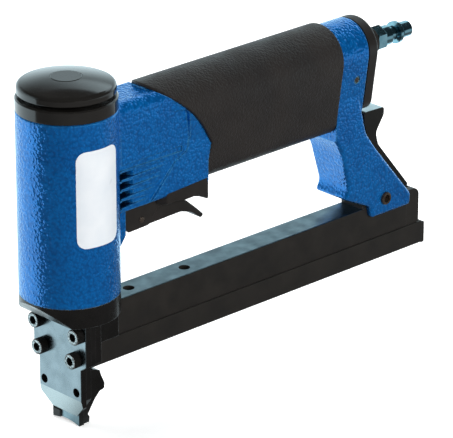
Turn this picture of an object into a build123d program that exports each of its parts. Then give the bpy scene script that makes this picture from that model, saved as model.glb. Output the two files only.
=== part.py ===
from build123d import *
import math
import os

# Pneumatic fine-wire stapler, in millimetres.
# +Z points up along the driver, +X from the nose to the air plug, Y across the tool.
# The origin is the point where a staple leaves the nose.

# Clearances
RUN_GAP = 0.05
SLIDE_GAP = 0.1
SIDE_GAP = 0.2
FREE_GAP = 0.4

# Heights, from the nose tip up
DRAWER_Z = 25.0
DRAWER_H = 11.2
RAIL_H = 16.6
BASE_H = 9.5
BARREL_H = 85.2
LEDGE_H = 7.5

# Barrel and everything inside it, from the outside in
BARREL_R = 22.5
BARREL_WALL = 2.7
AIR_GAP = 1.6
LINER_WALL = 2.2
LINER_H = 64.0
LINER_FLANGE_H = 3.0
LEDGE_BORE_R = 13.0
BUMPER_BORE_R = 8.0
PISTON_H = 9.5
PISTON_DROP = 1.5
PISTON_BOSS_R = 7.0
PISTON_BOSS_H = 5.0
PISTON_GROOVE_RISE = 3.5
BLADE_W = 10.4
BLADE_T = 1.1
DRIVER_PIN_R = 1.5
BLADE_RISE = 1.5
BLADE_STOP_Z = 1.5
LINER_HOLE_R = 1.2
SNAP_RING_HALF = 0.7
SNAP_RING_DROP = 2.2
SEAL_HALF = 1.0
SMALL_SEAL_HALF = 0.75

# Cap on top of the barrel
HEAD_SPIGOT_H = 6.7
HEAD_SEAT_STEP = 0.4
HEAD_SEAL_RISE = 0.6
COLLAR_H = 6.2
VALVE_DISC_H = 2.7
VALVE_SEAL_H = 1.25
VALVE_STEM_R = 6.0
VALVE_STEM_H = 9.0
HEAD_SPRING_R = 15.0
HEAD_SPRING_T = 0.6
EXHAUST_GAP = 1.7
DOME_R = 21.8
DOME_RIM_H = 3.9
DOME_RISE = 3.1
DOME_WALL = 2.4
DOME_BOSS_R = 7.5
DOME_PLUG_R = 7.05
DOME_PLUG_H = 1.5
VENT_COUNT = 8
VENT_R = 1.8
VENT_RING_R = 14.5

# Handle section, sleeve and rear end
GRIP_RISE = 1.3
GRIP_H = 52.0
GRIP_TOP_HALF = 18.2
GRIP_BOTTOM_HALF = 10.6
GRIP_TOP_ROUND = 0.985
GRIP_BOTTOM_R = 8.0
SLEEVE_PROUD = 1.5
SLEEVE_T = 2.6
SLEEVE_EDGE_R = 0.8
SLEEVE_TIP_X = 35.4
SLEEVE_KNEE_X = 73.6
SLEEVE_END_X = 154.0
HANDLE_END_X = 172.0
HANDLE_BORE_R = 9.5
HANDLE_BORE_DROP = 21.0
NECK_HALF = 12.4
NECK_ROOT_R = 2.5
NECK_FLARE_X = 52.0
NECK_FLARE_L = 11.0
NECK_END_X = 80.0
NECK_DROP = 1.0
NECK_PASSAGE_R = 7.0
NECK_DRAFT = 1.3
NECK_DRAFT_H = 40.0
FIN_COUNT = 4
FIN_PITCH = 4.5
FIN_RISE = 2.0
FIN_SLOT_H = 3.7
FIN_SLOT_END_H = 1.3
FIN_POCKET_DEPTH = 6.4
FIN_POCKET_L = 6.0
FIN_POCKET_RUN = 4.0
FIN_SLOT_DEPTH = 1.0
FIN_FIRST_END_X = 38.5
FIN_END_STEP = 4.5
PANEL_REACH = 3.0
PANEL_CORNER_DX = 7.0
PANEL_WAIST_DX = 8.0
PANEL_WAIST_RISE = 26.0
PANEL_TOP_DX = 5.0
PANEL_SINK = 0.3
PANEL_STEP_DEG = 20.0
BAND_EDGE = 0.7

# Rear leg and latch
LEG_TOP_HALF = 11.6
LEG_FOOT_HALF = 9.9
LEG_EDGE_R = 1.6
FORK_HALF = 7.1
LEG_BOLT_R = 3.0
LEG_BOLT_PROUD = 1.4
LEG_BOLT_X = 188.2
LEG_BOLT_RISE = 3.4
LATCH_HALF = 6.95
LATCH_PIN_R = 1.5
LATCH_PIN_SINK = 1.8
LATCH_PIN_BACK = 13.4
LATCH_PIN_RISE = 24.0
LATCH_BOSS_R = 3.9
LATCH_NOSE_HALF = 3.5
LATCH_SLOT_L = 6.5
LATCH_SPRING_T = 0.5
LATCH_SPRING_HALF = 4.0

# Trigger and its valve
TRIGGER_HALF = 5.8
TRIGGER_PIN_X = 35.7
TRIGGER_PIN_DROP = 8.1
TRIGGER_PIN_R = 1.5
TRIGGER_TOP_DROP = 5.4
BRACKET_HALF = 8.0
BRACKET_PLATE_T = 2.8
BRACKET_FRONT_X = 26.4
BRACKET_L = 49.5
BRACKET_END_T = 5.7
VALVE_X = 52.6
VALVE_R = 7.0
VALVE_H = 24.0
VALVE_CHAMBER_R = 4.2
VALVE_FLOOR_H = 4.0
VALVE_LID_H = 3.0
VALVE_PORT_R = 1.3
VALVE_PORT_RISE = 9.0
STEM_R = 2.0
STEM_HEAD_R = 3.6
STEM_TAIL_R = 1.5
VALVE_SPRING_R = 2.9
VALVE_SPRING_WIRE_R = 0.45
VALVE_SPRING_TURNS = 4.5

# End cap and air plug
CAP_T = 6.0
CAP_RISE = 6.5
CAP_SPIGOT_L = 12.0
CAP_SPIGOT_WALL = 2.2
CAP_SEAL_INSET = 2.0
CAP_BOSS_R = 6.8
CAP_BOSS_L = 8.0
CAP_PIN_X = 165.4
CAP_PIN_DROP = 27.0
CAP_PIN_R = 1.75
PLUG_DROP = 14.7
PLUG_THREAD_R = 4.9
PLUG_BORE_R = 2.4
PLUG_HEX_AF = 11.0
PLUG_HEX_L = 5.4
PLUG_SHANK_R = 4.8
PLUG_SHANK_L = 5.2
PLUG_NECK_R = 3.4
PLUG_NECK_L = 4.0
PLUG_COLLAR_R = 5.3
PLUG_COLLAR_L = 3.2
PLUG_GROOVE_R = 3.1
PLUG_GROOVE_L = 1.0
PLUG_TIP_R = 3.8
PLUG_TIP_L = 5.8
WASHER_T = 1.0

# Nose
PLATE_T = 3.0
GUIDE_T = 2.9
FLANGE_T = 3.6
NOSE_TOP_HALF = 17.5
NOSE_WAIST_HALF = 14.0
NOSE_WAIST_DROP = 22.0
NOSE_BEVEL_Z = 14.6
NOSE_TAPER_DROP = 3.4
NOSE_FOOT_Z = 4.9
NOSE_TIP_HALF = 8.0
FOOT_HALF = 8.8
FOOT_ARCH_H = 1.3
LUG_PROUD = 1.0
LUG_INNER_Y = 2.8
LUG_EDGE = 0.4
FOOT_FLARE_H = 2.8
CHIN_HALF = 8.0
CHEEK_HALF = 8.5
CHEEK_END_X = 20.8
BASE_CUT_X = -14.0
SCREW_R = 2.0
SCREW_HEAD_R = 3.5
SCREW_HEAD_H = 4.0
SCREW_SOCKET_AF = 3.0
FLAT_SCREW_R = 1.8
SMALL_SCREW_R = 1.5
NOSE_SCREWS = ((13.3, 6.3), (11.1, 18.5))
NOSE_HOLE = (10.7, 18.1)
NOSE_HOLE_R = 2.1
BASE_SCREW_PCD_R = 17.6
BASE_SCREW_SINK = 5.5
BASE_SCREW_ANGLES = (58, 125, -125, -58)

# Magazine
RAIL_HALF = 6.95
RAIL_INNER_HALF = 5.5
RAIL_TOP_T = 2.0
RAIL_SKIRT_T = 0.7
RAIL_BEAD_H = 1.8
RAIL_BEAD_W = 0.6
RAIL_START_X = 3.2
RAIL_END_X = 206.0
RAIL_HOLES_X = (34.6, 68.4)
RAIL_HOLE_R = 2.65
BRACKET_START_X = 176.0
BRACKET_END_X = 214.3
DRAWER_HALF = 7.45
DRAWER_FLOOR_T = 2.8
DRAWER_END_X = 218.7
CORE_HALF = 4.0
CORE_WALL = 0.8
CORE_FLOOR_T = 1.6
CORE_HEADROOM = 6.0
CORE_START_X = 1.2
CORE_END_X = 198.0
PUSHER_HALF = 5.3
PUSHER_ROOF_H = 3.0
PUSHER_START_X = 1.7
PUSHER_SADDLE_L = 22.0
PUSHER_L = 36.0
SPOOL_R = 2.2
SPOOL_JOURNAL_R = 1.1
SPOOL_X = 31.0
SPOOL_DROP = 8.0
STRIP_T = 0.35
STRIP_STEP = 0.8
STRIP_HALF_TURNS = 7
CATCH_GAP = 0.4

# Places that follow from the sizes above
RAIL_FOOT_Z = DRAWER_Z + DRAWER_H + SIDE_GAP
MAG_TOP_Z = RAIL_FOOT_Z + RAIL_H
CAST_Z = MAG_TOP_Z + BASE_H
BARREL_TOP_Z = CAST_Z + BARREL_H
LEDGE_Z = CAST_Z + LEDGE_H
BARREL_BORE_R = BARREL_R - BARREL_WALL
LINER_R = BARREL_BORE_R - AIR_GAP
CYLINDER_R = LINER_R - LINER_WALL
LINER_TOP_Z = LEDGE_Z + LINER_H
PISTON_TOP_Z = LINER_TOP_Z - PISTON_DROP
PISTON_Z = PISTON_TOP_Z - PISTON_H
RAIL_CEILING_Z = MAG_TOP_Z - RAIL_TOP_T
CORE_TOP_Z = RAIL_CEILING_Z - CORE_HEADROOM
PUSHER_TOP_Z = CORE_TOP_Z + PUSHER_ROOF_H
SPOOL_Z = CORE_TOP_Z - SPOOL_DROP
BLADE_TIP_Z = CORE_TOP_Z + BLADE_RISE
STROKE = BLADE_TIP_Z - BLADE_STOP_Z
DRIVER_PIN_Z = PISTON_Z - PISTON_BOSS_H / 2
BUMPER_H = PISTON_Z - STROKE - FREE_GAP - LEDGE_Z
NOSE_WAIST_Z = MAG_TOP_Z - NOSE_WAIST_DROP
HEAD_Z = BARREL_TOP_Z - HEAD_SPIGOT_H
HEAD_SEAT_R = BARREL_BORE_R + HEAD_SEAT_STEP
SNAP_RING_Z = BARREL_TOP_Z - SNAP_RING_DROP
COLLAR_TOP_Z = BARREL_TOP_Z + COLLAR_H
DOME_Z = COLLAR_TOP_Z + EXHAUST_GAP
DOME_RIM_Z = DOME_Z + DOME_RIM_H
DOME_TOP_Z = DOME_RIM_Z + DOME_RISE
VALVE_SEAL_Z = LINER_TOP_Z + RUN_GAP
HEAD_VALVE_Z = VALVE_SEAL_Z + VALVE_SEAL_H
HEAD_VALVE_TOP_Z = HEAD_VALVE_Z + VALVE_DISC_H
GRIP_TOP_Z = BARREL_TOP_Z + GRIP_RISE
GRIP_BOTTOM_Z = GRIP_TOP_Z - GRIP_H
GRIP_SLOPE = (GRIP_TOP_HALF - GRIP_BOTTOM_HALF) / GRIP_H
GRIP_TOP_R = GRIP_TOP_ROUND * GRIP_TOP_HALF * math.tan(math.pi / 4 - math.atan(GRIP_SLOPE) / 2)
NECK_Z = GRIP_BOTTOM_Z - NECK_DROP
HANDLE_BORE_Z = GRIP_TOP_Z - HANDLE_BORE_DROP
CAP_BOTTOM_Z = GRIP_BOTTOM_Z + CAP_RISE
CAP_PIN_Z = GRIP_TOP_Z - CAP_PIN_DROP
PLUG_Z = BARREL_TOP_Z - PLUG_DROP
PLUG_SEAT_X = HANDLE_END_X + CAP_T + CAP_BOSS_L
BOLT_Z = MAG_TOP_Z + LEG_BOLT_RISE
TRIGGER_PIN_Z = NECK_Z - TRIGGER_PIN_DROP
BRACKET_ROOF_Z = NECK_Z - BRACKET_PLATE_T
TRIGGER_TOP_Z = NECK_Z - TRIGGER_TOP_DROP
VALVE_TOP_Z = NECK_Z + VALVE_H
CHANNEL_X = BLADE_T / 2 + RUN_GAP
CHANNEL_HALF = BLADE_W / 2 + RUN_GAP
GUIDE_FRONT_X = -CHANNEL_X - GUIDE_T
PLATE_FRONT_X = GUIDE_FRONT_X - PLATE_T
FLANGE_END_X = FLANGE_T - CHANNEL_X
CATCH_TOP_Z = PUSHER_TOP_Z + SIDE_GAP
LATCH_NOSE_Z = CATCH_TOP_Z + CATCH_GAP
LATCH_PIN_X = HANDLE_END_X + LATCH_PIN_BACK
LATCH_PIN_Z = MAG_TOP_Z + LATCH_PIN_RISE
DRAWER_FLOOR_Z = DRAWER_Z + DRAWER_FLOOR_T
DRAWER_TOP_Z = DRAWER_Z + DRAWER_H

MIN_ALIGN = (Align.CENTER, Align.CENTER, Align.MIN)


def rod(radius, start, end):
    """Round bar between two points."""
    line = Vector(*end) - Vector(*start)
    return Plane(origin=start, z_dir=line) * Cylinder(radius, line.length, align=MIN_ALIGN)


def tube(outer, inner, start, end):
    """Round tube between two points."""
    return rod(outer, start, end) - rod(inner, start, end)


def block(x, y, z):
    """Block from its (low, high) pair on each axis."""
    centre = [(low + high) / 2 for low, high in (x, y, z)]
    size = [high - low for low, high in (x, y, z)]
    return Pos(*centre) * Box(*size)


def bar(x, half_y, z):
    """Block centred on the tool's middle plane."""
    return block(x, (-half_y, half_y), z)


def outline(points, radii=0):
    """Flat face from its corner points, with a radius for all corners or for each."""
    return make_face(FilletPolyline(*points, radius=radii, close=True))


def side_plate(points, half_y, radii=0):
    """Plate with an (x, z) outline, centred on the middle plane."""
    return extrude(Plane.XZ * outline(points, radii), amount=half_y, both=True)


def cross_plane(x):
    """Plane across the tool at x, with Y to the right and Z up."""
    return Plane(origin=(x, 0, 0), x_dir=(0, 1, 0), z_dir=(1, 0, 0))


def mirrored(half):
    """Closed list of (y, z) points from the right half of a symmetric outline."""
    return list(half) + [(-y, z) for y, z in reversed(half)]


def turned(points):
    """Solid of revolution about Z from (radius, height) points."""
    return revolve(Plane.XZ * make_face(Polyline(*points, close=True)), axis=Axis.Z)


def turned_x(points, z):
    """Solid of revolution about a line along X at height z, from (x, radius) points."""
    profile = Plane.XZ * Pos(0, z) * make_face(Polyline(*points, close=True))
    return revolve(profile, axis=Axis((0, 0, z), (1, 0, 0)))


def seal_ring(outer, half, z=0):
    """Moulded seal ring about the Z axis, with bevelled corners."""
    bevel = 0.6 * half
    inner = outer - 2 * half
    return turned([
        (inner, z - half + bevel),
        (inner + bevel, z - half),
        (outer - bevel, z - half),
        (outer, z - half + bevel),
        (outer, z + half - bevel),
        (outer - bevel, z + half),
        (inner + bevel, z + half),
        (inner, z + half - bevel),
    ])


def socket_screw(head, direction, length):
    """Socket-head cap screw from the underside of its head, pointing along its shank."""
    frame = Plane(origin=head, z_dir=direction)
    cap = Pos(0, 0, -SCREW_HEAD_H) * Cylinder(SCREW_HEAD_R, SCREW_HEAD_H, align=MIN_ALIGN)
    cap = chamfer(cap.edges().sort_by(Axis.Z)[0], 0.4)
    socket = extrude(RegularPolygon(SCREW_SOCKET_AF / 2, 6, major_radius=False), SCREW_SOCKET_AF)
    screw = cap - Pos(0, 0, -SCREW_HEAD_H) * socket + Cylinder(SCREW_R, length, align=MIN_ALIGN)
    return frame * screw


def flat_screw(head, direction, length, radius):
    """Countersunk screw from the middle of its flat head, pointing along its shank."""
    frame = Plane(origin=head, z_dir=direction)
    cone = Cone(2 * radius, radius, radius, align=MIN_ALIGN)
    socket = extrude(RegularPolygon(0.7 * radius, 6, major_radius=False), 0.6 * radius)
    return frame * (cone + Cylinder(radius, length, align=MIN_ALIGN) - socket)


def countersink(head, direction, length, radius):
    """Hole for a countersunk screw, with clearance round it."""
    frame = Plane(origin=head, z_dir=direction)
    cone = Cone(2 * radius + RUN_GAP, radius + RUN_GAP, radius, align=MIN_ALIGN)
    return frame * (cone + Cylinder(radius + RUN_GAP, length, align=MIN_ALIGN))


def coil_spring(frame, coil_r, wire_r, turns, height, name):
    """Helical spring on a frame's z axis, from pairs of arcs over each half turn."""
    count = round(2 * turns)
    rise = height / count

    def on_helix(i):
        angle = math.pi * i
        place = Vector(coil_r * math.cos(angle), coil_r * math.sin(angle), rise * i)
        along = Vector(-coil_r * math.sin(angle), coil_r * math.cos(angle), rise / math.pi)
        return place, along.normalized()

    arcs = []
    for i in range(count):
        start, leave = on_helix(i)
        end, arrive = on_helix(i + 1)
        chord = end - start
        both = leave + arrive
        gain = both.dot(both) - 4
        lead = chord.dot(both)
        reach = (lead - math.sqrt(lead * lead - gain * chord.dot(chord))) / gain
        first = start + leave * reach
        second = end - arrive * reach
        middle = (first + second) * 0.5
        arcs.append(Edge.make_tangent_arc(start, leave, middle))
        arcs.append(Edge.make_tangent_arc(middle, (second - first).normalized(), end))
    start, leave = on_helix(0)
    section = Plane(origin=start, z_dir=leave) * Circle(wire_r)
    gap = 2 * rise - 2 * wire_r
    print(f"{name}: {turns} turns, least gap between turns {gap:.2f} mm")
    return frame * sweep(section, path=Wire(arcs))


def handle_face(x, inset, bottom=None):
    """Cross section of the handle at x, drawn in from the sleeve's outside."""
    top = GRIP_TOP_Z - inset
    foot = GRIP_BOTTOM_Z + inset if bottom is None else bottom
    draw_in = inset * math.hypot(1, GRIP_SLOPE)

    def half(z):
        return GRIP_TOP_HALF - GRIP_SLOPE * (GRIP_TOP_Z - z) - draw_in

    corners = mirrored([(half(top), top), (half(foot), foot)])
    top_r = GRIP_TOP_R - inset
    foot_r = GRIP_BOTTOM_R - inset
    return cross_plane(x) * outline(corners, [top_r, foot_r, foot_r, top_r])


def handle_prism(inset, x0, x1, bottom=None):
    """Length of the handle section."""
    return extrude(handle_face(x0, inset, bottom), amount=x1 - x0)


def sleeve_zone(seat):
    """Space that the rubber sleeve takes up along the handle, outside a seat drawn in that far."""
    high = GRIP_TOP_Z + 10
    low = GRIP_BOTTOM_Z - 10
    tip = (SLEEVE_TIP_X, GRIP_TOP_Z + 1.5)
    shoulder = (SLEEVE_KNEE_X - 15.6, GRIP_TOP_Z - 0.256 * GRIP_H)
    knee = (SLEEVE_KNEE_X, GRIP_TOP_Z - 0.648 * GRIP_H)
    heel = (SLEEVE_KNEE_X - 1.6, GRIP_TOP_Z - 0.8 * GRIP_H)
    lines = [
        Line((SLEEVE_TIP_X, high), tip),
        ThreePointArc(tip, shoulder, knee),
        Line(knee, heel),
        Line(heel, (heel[0], low)),
        Line((heel[0], low), (SLEEVE_END_X, low)),
        Line((SLEEVE_END_X, low), (SLEEVE_END_X, high)),
        Line((SLEEVE_END_X, high), (SLEEVE_TIP_X, high)),
    ]
    side = extrude(Plane.XZ * make_face(lines), amount=2 * GRIP_TOP_HALF, both=True)
    return side - handle_prism(seat, 0, HANDLE_END_X)


def neck():
    """Neck from the barrel to the handle, and the flare where it widens into the handle."""
    top = GRIP_TOP_Z - SLEEVE_T
    corners = mirrored([(NECK_HALF, top), (NECK_HALF, NECK_Z)])
    section = cross_plane(0) * outline(corners, [5, 2.5, 2.5, 5])
    core = extrude(section, amount=NECK_END_X)
    flare = handle_prism(SLEEVE_PROUD, NECK_FLARE_X - 10, NECK_END_X)
    end_x = NECK_FLARE_X + NECK_FLARE_L
    scoop = [
        (0, NECK_HALF),
        (NECK_FLARE_X, NECK_HALF),
        (end_x, GRIP_TOP_HALF),
        (end_x, 2 * GRIP_TOP_HALF),
        (0, 2 * GRIP_TOP_HALF),
    ]
    radii = [0, 8, 0, 0, 0]
    cut = Pos(0, 0, NECK_Z - 5) * extrude(outline(scoop, radii), amount=GRIP_H + 20)
    return core + (flare - cut - mirror(cut, about=Plane.XZ))


def neck_side(z):
    """Half width of the neck's drafted side at a height."""
    return NECK_HALF - NECK_DRAFT * max(0, NECK_Z + NECK_DRAFT_H - z) / NECK_DRAFT_H


def fin_end_x(i):
    """Rear end of a slot between the fins, counted from below."""
    return FIN_FIRST_END_X + i * FIN_END_STEP


def fin_panel():
    """Space outside the neck's drafted side, up to the slanted step behind the fins."""
    top_z = NECK_Z + NECK_DRAFT_H
    foot_z = NECK_Z - PANEL_REACH
    outside = NECK_HALF + PANEL_REACH
    first_z = NECK_Z + FIN_RISE
    last_x = fin_end_x(FIN_COUNT - 1)
    step = [
        (0, foot_z),
        (fin_end_x(0) - FIN_END_STEP, foot_z),
        (last_x, first_z + (FIN_COUNT - 1) * FIN_PITCH + FIN_SLOT_END_H),
        (last_x + PANEL_CORNER_DX, first_z + FIN_COUNT * FIN_PITCH),
        (last_x + PANEL_WAIST_DX, NECK_Z + PANEL_WAIST_RISE),
        (last_x + PANEL_TOP_DX, top_z + PANEL_REACH),
        (0, top_z + PANEL_REACH),
    ]
    floor_y = NECK_HALF - NECK_DRAFT - PANEL_SINK
    inner = Plane(origin=(0, floor_y, 0), x_dir=(1, 0, 0), z_dir=(0, 1, 0))
    flat = inner * mirror(outline(step, [0, 0, 3, 3, 8, 0, 0]), about=Plane.XZ)
    region = extrude(flat, amount=outside - floor_y, taper=-PANEL_STEP_DEG)
    draft = [(outside, top_z), (NECK_HALF, top_z), (neck_side(foot_z), foot_z), (outside, foot_z)]
    panel = region & extrude(cross_plane(0) * make_face(Polyline(*draft, close=True)), amount=NECK_END_X)
    panel -= rod(BARREL_R + NECK_ROOT_R / 2, (0, 0, foot_z), (0, 0, top_z))
    return panel + mirror(panel, about=Plane.XZ)


def fin_slots():
    """Slots between the cooling fins, deep at the barrel and tapering to the step behind."""
    slots = Part()
    outside = NECK_HALF + PANEL_REACH
    root_x = math.sqrt(BARREL_R ** 2 - NECK_HALF ** 2)
    pocket_x = root_x + FIN_POCKET_L
    shallow_x = pocket_x + FIN_POCKET_RUN
    for i in range(FIN_COUNT):
        z = NECK_Z + FIN_RISE + i * FIN_PITCH
        end_x = fin_end_x(i)
        side = neck_side(z)
        floor = [
            (0, outside),
            (0, side - FIN_POCKET_DEPTH),
            (pocket_x, side - FIN_POCKET_DEPTH),
            (shallow_x, side - FIN_SLOT_DEPTH),
            (end_x, side + SIDE_GAP),
            (end_x, outside),
        ]
        end_z = z + (FIN_SLOT_H - FIN_SLOT_END_H) / 2
        width = [
            (root_x, z),
            (end_x, end_z),
            (end_x, end_z + FIN_SLOT_END_H),
            (root_x, z + FIN_SLOT_H),
            (0, z + FIN_SLOT_H),
            (0, z),
        ]
        depth = Pos(0, 0, z) * extrude(make_face(Polyline(*floor, close=True)), amount=FIN_SLOT_H)
        slots += depth & side_plate(width, outside)
    z = NECK_Z + FIN_RISE + FIN_COUNT * FIN_PITCH
    deep = neck_side(z) - FIN_SLOT_DEPTH / 2
    slots += block((0, fin_end_x(FIN_COUNT)), (deep, outside), (z, z + (FIN_SLOT_H + FIN_SLOT_END_H) / 2))
    slots -= rod(BARREL_R, (0, 0, NECK_Z - 1), (0, 0, BARREL_TOP_Z))
    return slots + mirror(slots, about=Plane.XZ)


def leg():
    """Rear leg from the handle down to its forked foot, with rounded edges."""
    end = HANDLE_END_X
    rail = MAG_TOP_Z
    points = [
        (end - 24, GRIP_BOTTOM_Z + 18),
        (end - 24, GRIP_BOTTOM_Z + 4.5),
        (end - 14.2, rail + 35.5),
        (end - 8.2, rail + 14),
        (end - 10.7, rail + 9.6),
        (end + 6.3, rail + 1.4),
        (end + 7.6, rail - 4.6),
        (end + 33.6, rail - 4.6),
        (end + 33.8, rail + 1.2),
        (end + 9.2, rail + 30.4),
        (end + 2.2, rail + 40),
        (end - 4, GRIP_BOTTOM_Z + 18),
    ]
    radii = [0, 6, 26, 5, 1.2, 2, 2, 2, 2.5, 12, 14, 0]
    plate = side_plate(points, 2 * LEG_TOP_HALF, radii)
    top_z = GRIP_BOTTOM_Z + 20
    foot_z = rail - 6
    taper = mirrored([(LEG_TOP_HALF, top_z), (LEG_FOOT_HALF, foot_z)])
    draft = extrude(cross_plane(end - 60) * outline(taper), amount=120)
    solid = plate & draft
    flanks = solid.faces().sort_by(Axis.Y)
    edges = flanks[0].edges() + flanks[-1].edges()
    low = [e for e in edges if e.center().Z < GRIP_BOTTOM_Z + 15]
    return fillet(low, LEG_EDGE_R)


def latch_outline():
    """Corner points and radii of the latch lever's side view."""
    end = HANDLE_END_X
    rail = MAG_TOP_Z
    points = [
        (end + 4.6, rail + 48.6),
        (end + 17.6, rail + 48.2),
        (end + 17.4, rail + 44.4),
        (end + 12.2, rail + 36.6),
        (end + 13.9, rail + 30.4),
        (end + 34.8, rail + 4.6),
        (end + 31.2, rail + 2.0),
        (end + 10.0, rail + 27.6),
        (end + 6.6, rail + 36.6),
        (end + 4.6, rail + 43.5),
    ]
    return points, [1, 1.2, 2, 5, 8, 1, 0.5, 6, 8, 3]


def latch_channel():
    """Space in the leg's rear for the latch lever and its swing."""
    end = HANDLE_END_X
    rail = MAG_TOP_Z
    points = [
        (end - 2.5, rail + 52),
        (end - 2.5, rail + 43),
        (end + 1.6, rail + 35),
        (end + 4.4, rail + 26.8),
        (end + 25.5, rail + 1),
        (end + 60, rail + 1),
        (end + 60, rail + 52),
    ]
    return side_plate(points, LATCH_HALF + SIDE_GAP)


def barrel_cavity():
    """Bore of the barrel, with the ledge, the head's seat and the retaining ring's groove."""
    space = rod(LEDGE_BORE_R, (0, 0, CAST_Z), (0, 0, LEDGE_Z))
    space += rod(BARREL_BORE_R, (0, 0, LEDGE_Z), (0, 0, HEAD_Z))
    space += rod(HEAD_SEAT_R, (0, 0, HEAD_Z), (0, 0, BARREL_TOP_Z))
    half = SNAP_RING_HALF + RUN_GAP
    space += rod(HEAD_SEAT_R + half, (0, 0, SNAP_RING_Z - half), (0, 0, SNAP_RING_Z + half))
    return space


def base_screw_places():
    """Places of the screws that hold the nose body to the casting."""
    turns = [math.radians(angle) for angle in BASE_SCREW_ANGLES]
    return [(BASE_SCREW_PCD_R * math.cos(a), BASE_SCREW_PCD_R * math.sin(a)) for a in turns]


def neck_roots(body):
    """Upright edges where the neck's two sides leave the barrel."""
    roots = []
    for edge in body.edges():
        middle = edge @ 0.5
        on_barrel = abs(math.hypot(middle.X, middle.Y) - BARREL_R) < RUN_GAP
        on_side = abs(abs(middle.Y) - NECK_HALF) < RUN_GAP
        if on_barrel and on_side and middle.X > 0:
            roots.append(edge)
    return roots


def housing():
    """Casting in one piece: barrel, neck, handle core and rear leg."""
    body = rod(BARREL_R, (0, 0, CAST_Z), (0, 0, BARREL_TOP_Z))
    body = chamfer(body.edges().sort_by(Axis.Z)[-1], 0.5)
    body += neck()
    body = fillet(neck_roots(body), NECK_ROOT_R)
    handle = handle_prism(SLEEVE_PROUD, NECK_END_X - 1, HANDLE_END_X)
    body += chamfer(handle.faces().sort_by(Axis.X)[-1].edges(), BAND_EDGE)
    body += leg()
    lug = [
        (BARREL_R - 8, NECK_Z - 22),
        (BARREL_R - 1.5, NECK_Z - 20),
        (BRACKET_FRONT_X - SIDE_GAP, NECK_Z - 13),
        (BRACKET_FRONT_X - SIDE_GAP, NECK_Z + 5),
        (BARREL_R - 8, NECK_Z + 5),
    ]
    body += side_plate(lug, BRACKET_HALF, [0, 0, 2, 0, 0])
    body -= sleeve_zone(SLEEVE_T)
    body -= fin_panel()
    body -= fin_slots()
    body -= barrel_cavity()
    bore_z = HANDLE_BORE_Z
    body -= rod(NECK_PASSAGE_R, (0, 0, bore_z), (NECK_END_X, 0, bore_z))
    body -= rod(HANDLE_BORE_R, (NECK_END_X - 12, 0, bore_z), (HANDLE_END_X, 0, bore_z))
    body -= rod(VALVE_R + RUN_GAP, (VALVE_X, 0, NECK_Z), (VALVE_X, 0, VALVE_TOP_Z))
    body -= rod(VALVE_CHAMBER_R, (VALVE_X, 0, NECK_Z), (VALVE_X, 0, bore_z))
    for x, y in base_screw_places():
        body -= rod(SCREW_R + RUN_GAP, (x, y, CAST_Z), (x, y, LEDGE_Z - 1))
    for x in bracket_screw_places():
        body -= rod(SCREW_R + RUN_GAP, (x, 0, NECK_Z), (x, 0, NECK_Z + 8))
    body -= rod(CAP_PIN_R + RUN_GAP, (CAP_PIN_X, -30, CAP_PIN_Z), (CAP_PIN_X, 30, CAP_PIN_Z))
    body -= bar((BRACKET_START_X - 20, BRACKET_END_X + 5), FORK_HALF, (MAG_TOP_Z - 10, MAG_TOP_Z + 8.4))
    body -= rod(LEG_BOLT_R + RUN_GAP, (LEG_BOLT_X, -30, BOLT_Z), (LEG_BOLT_X, 30, BOLT_Z))
    body -= latch_channel()
    pin_start = -LATCH_HALF - LATCH_PIN_SINK
    body -= rod(LATCH_PIN_R + RUN_GAP, (LATCH_PIN_X, pin_start, LATCH_PIN_Z), (LATCH_PIN_X, 30, LATCH_PIN_Z))
    return body


def grip_sleeve():
    """Rubber sleeve over the handle core, with rounded rims."""
    sleeve = handle_prism(0, SLEEVE_TIP_X, SLEEVE_END_X) & sleeve_zone(SLEEVE_T - SLIDE_GAP)
    inside = handle_prism(SLEEVE_T / 4, 0, HANDLE_END_X)
    rims = [f for f in sleeve.faces() if abs(f.normal_at().X) > 0.1]
    edges = [e for f in rims for e in f.edges() if not inside.is_inside(e @ 0.5)]
    return fillet(edges, SLEEVE_EDGE_R)


def nose_side():
    """Outline of the nose seen from the front, down to where its tip narrows."""
    waist = NOSE_WAIST_Z
    return [
        (NOSE_TOP_HALF, MAG_TOP_Z - RUN_GAP),
        (NOSE_TOP_HALF, waist + 1.2),
        (NOSE_WAIST_HALF, waist - 1.2),
    ]


def screw_places():
    """Places (y, z) of the four nose screws."""
    return [(side * y, MAG_TOP_Z - drop) for y, drop in NOSE_SCREWS for side in (-1, 1)]


def nose_plate():
    """Ground front plate with a bevelled tip, four screw holes and two free holes."""
    tip = [(NOSE_WAIST_HALF, NOSE_BEVEL_Z - NOSE_TAPER_DROP), (NOSE_TIP_HALF, NOSE_FOOT_Z)]
    corners = mirrored(nose_side() + tip)
    plate = extrude(cross_plane(PLATE_FRONT_X) * outline(corners), amount=PLATE_T)
    plate = chamfer(plate.faces().sort_by(Axis.X)[0].edges(), 0.25)
    bevel = [
        (PLATE_FRONT_X - 1, NOSE_BEVEL_Z),
        (PLATE_FRONT_X, NOSE_BEVEL_Z),
        (GUIDE_FRONT_X - 0.3, NOSE_FOOT_Z - 1),
        (PLATE_FRONT_X - 1, NOSE_FOOT_Z - 1),
    ]
    plate -= side_plate(bevel, 2 * NOSE_TOP_HALF)
    for y, z in screw_places():
        plate -= rod(SCREW_R + SIDE_GAP, (PLATE_FRONT_X - 1, y, z), (0, y, z))
    for side in (-1, 1):
        y, z = side * NOSE_HOLE[0], NOSE_HOLE[1]
        plate -= rod(NOSE_HOLE_R, (PLATE_FRONT_X - 1, y, z), (0, y, z))
    return plate


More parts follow.
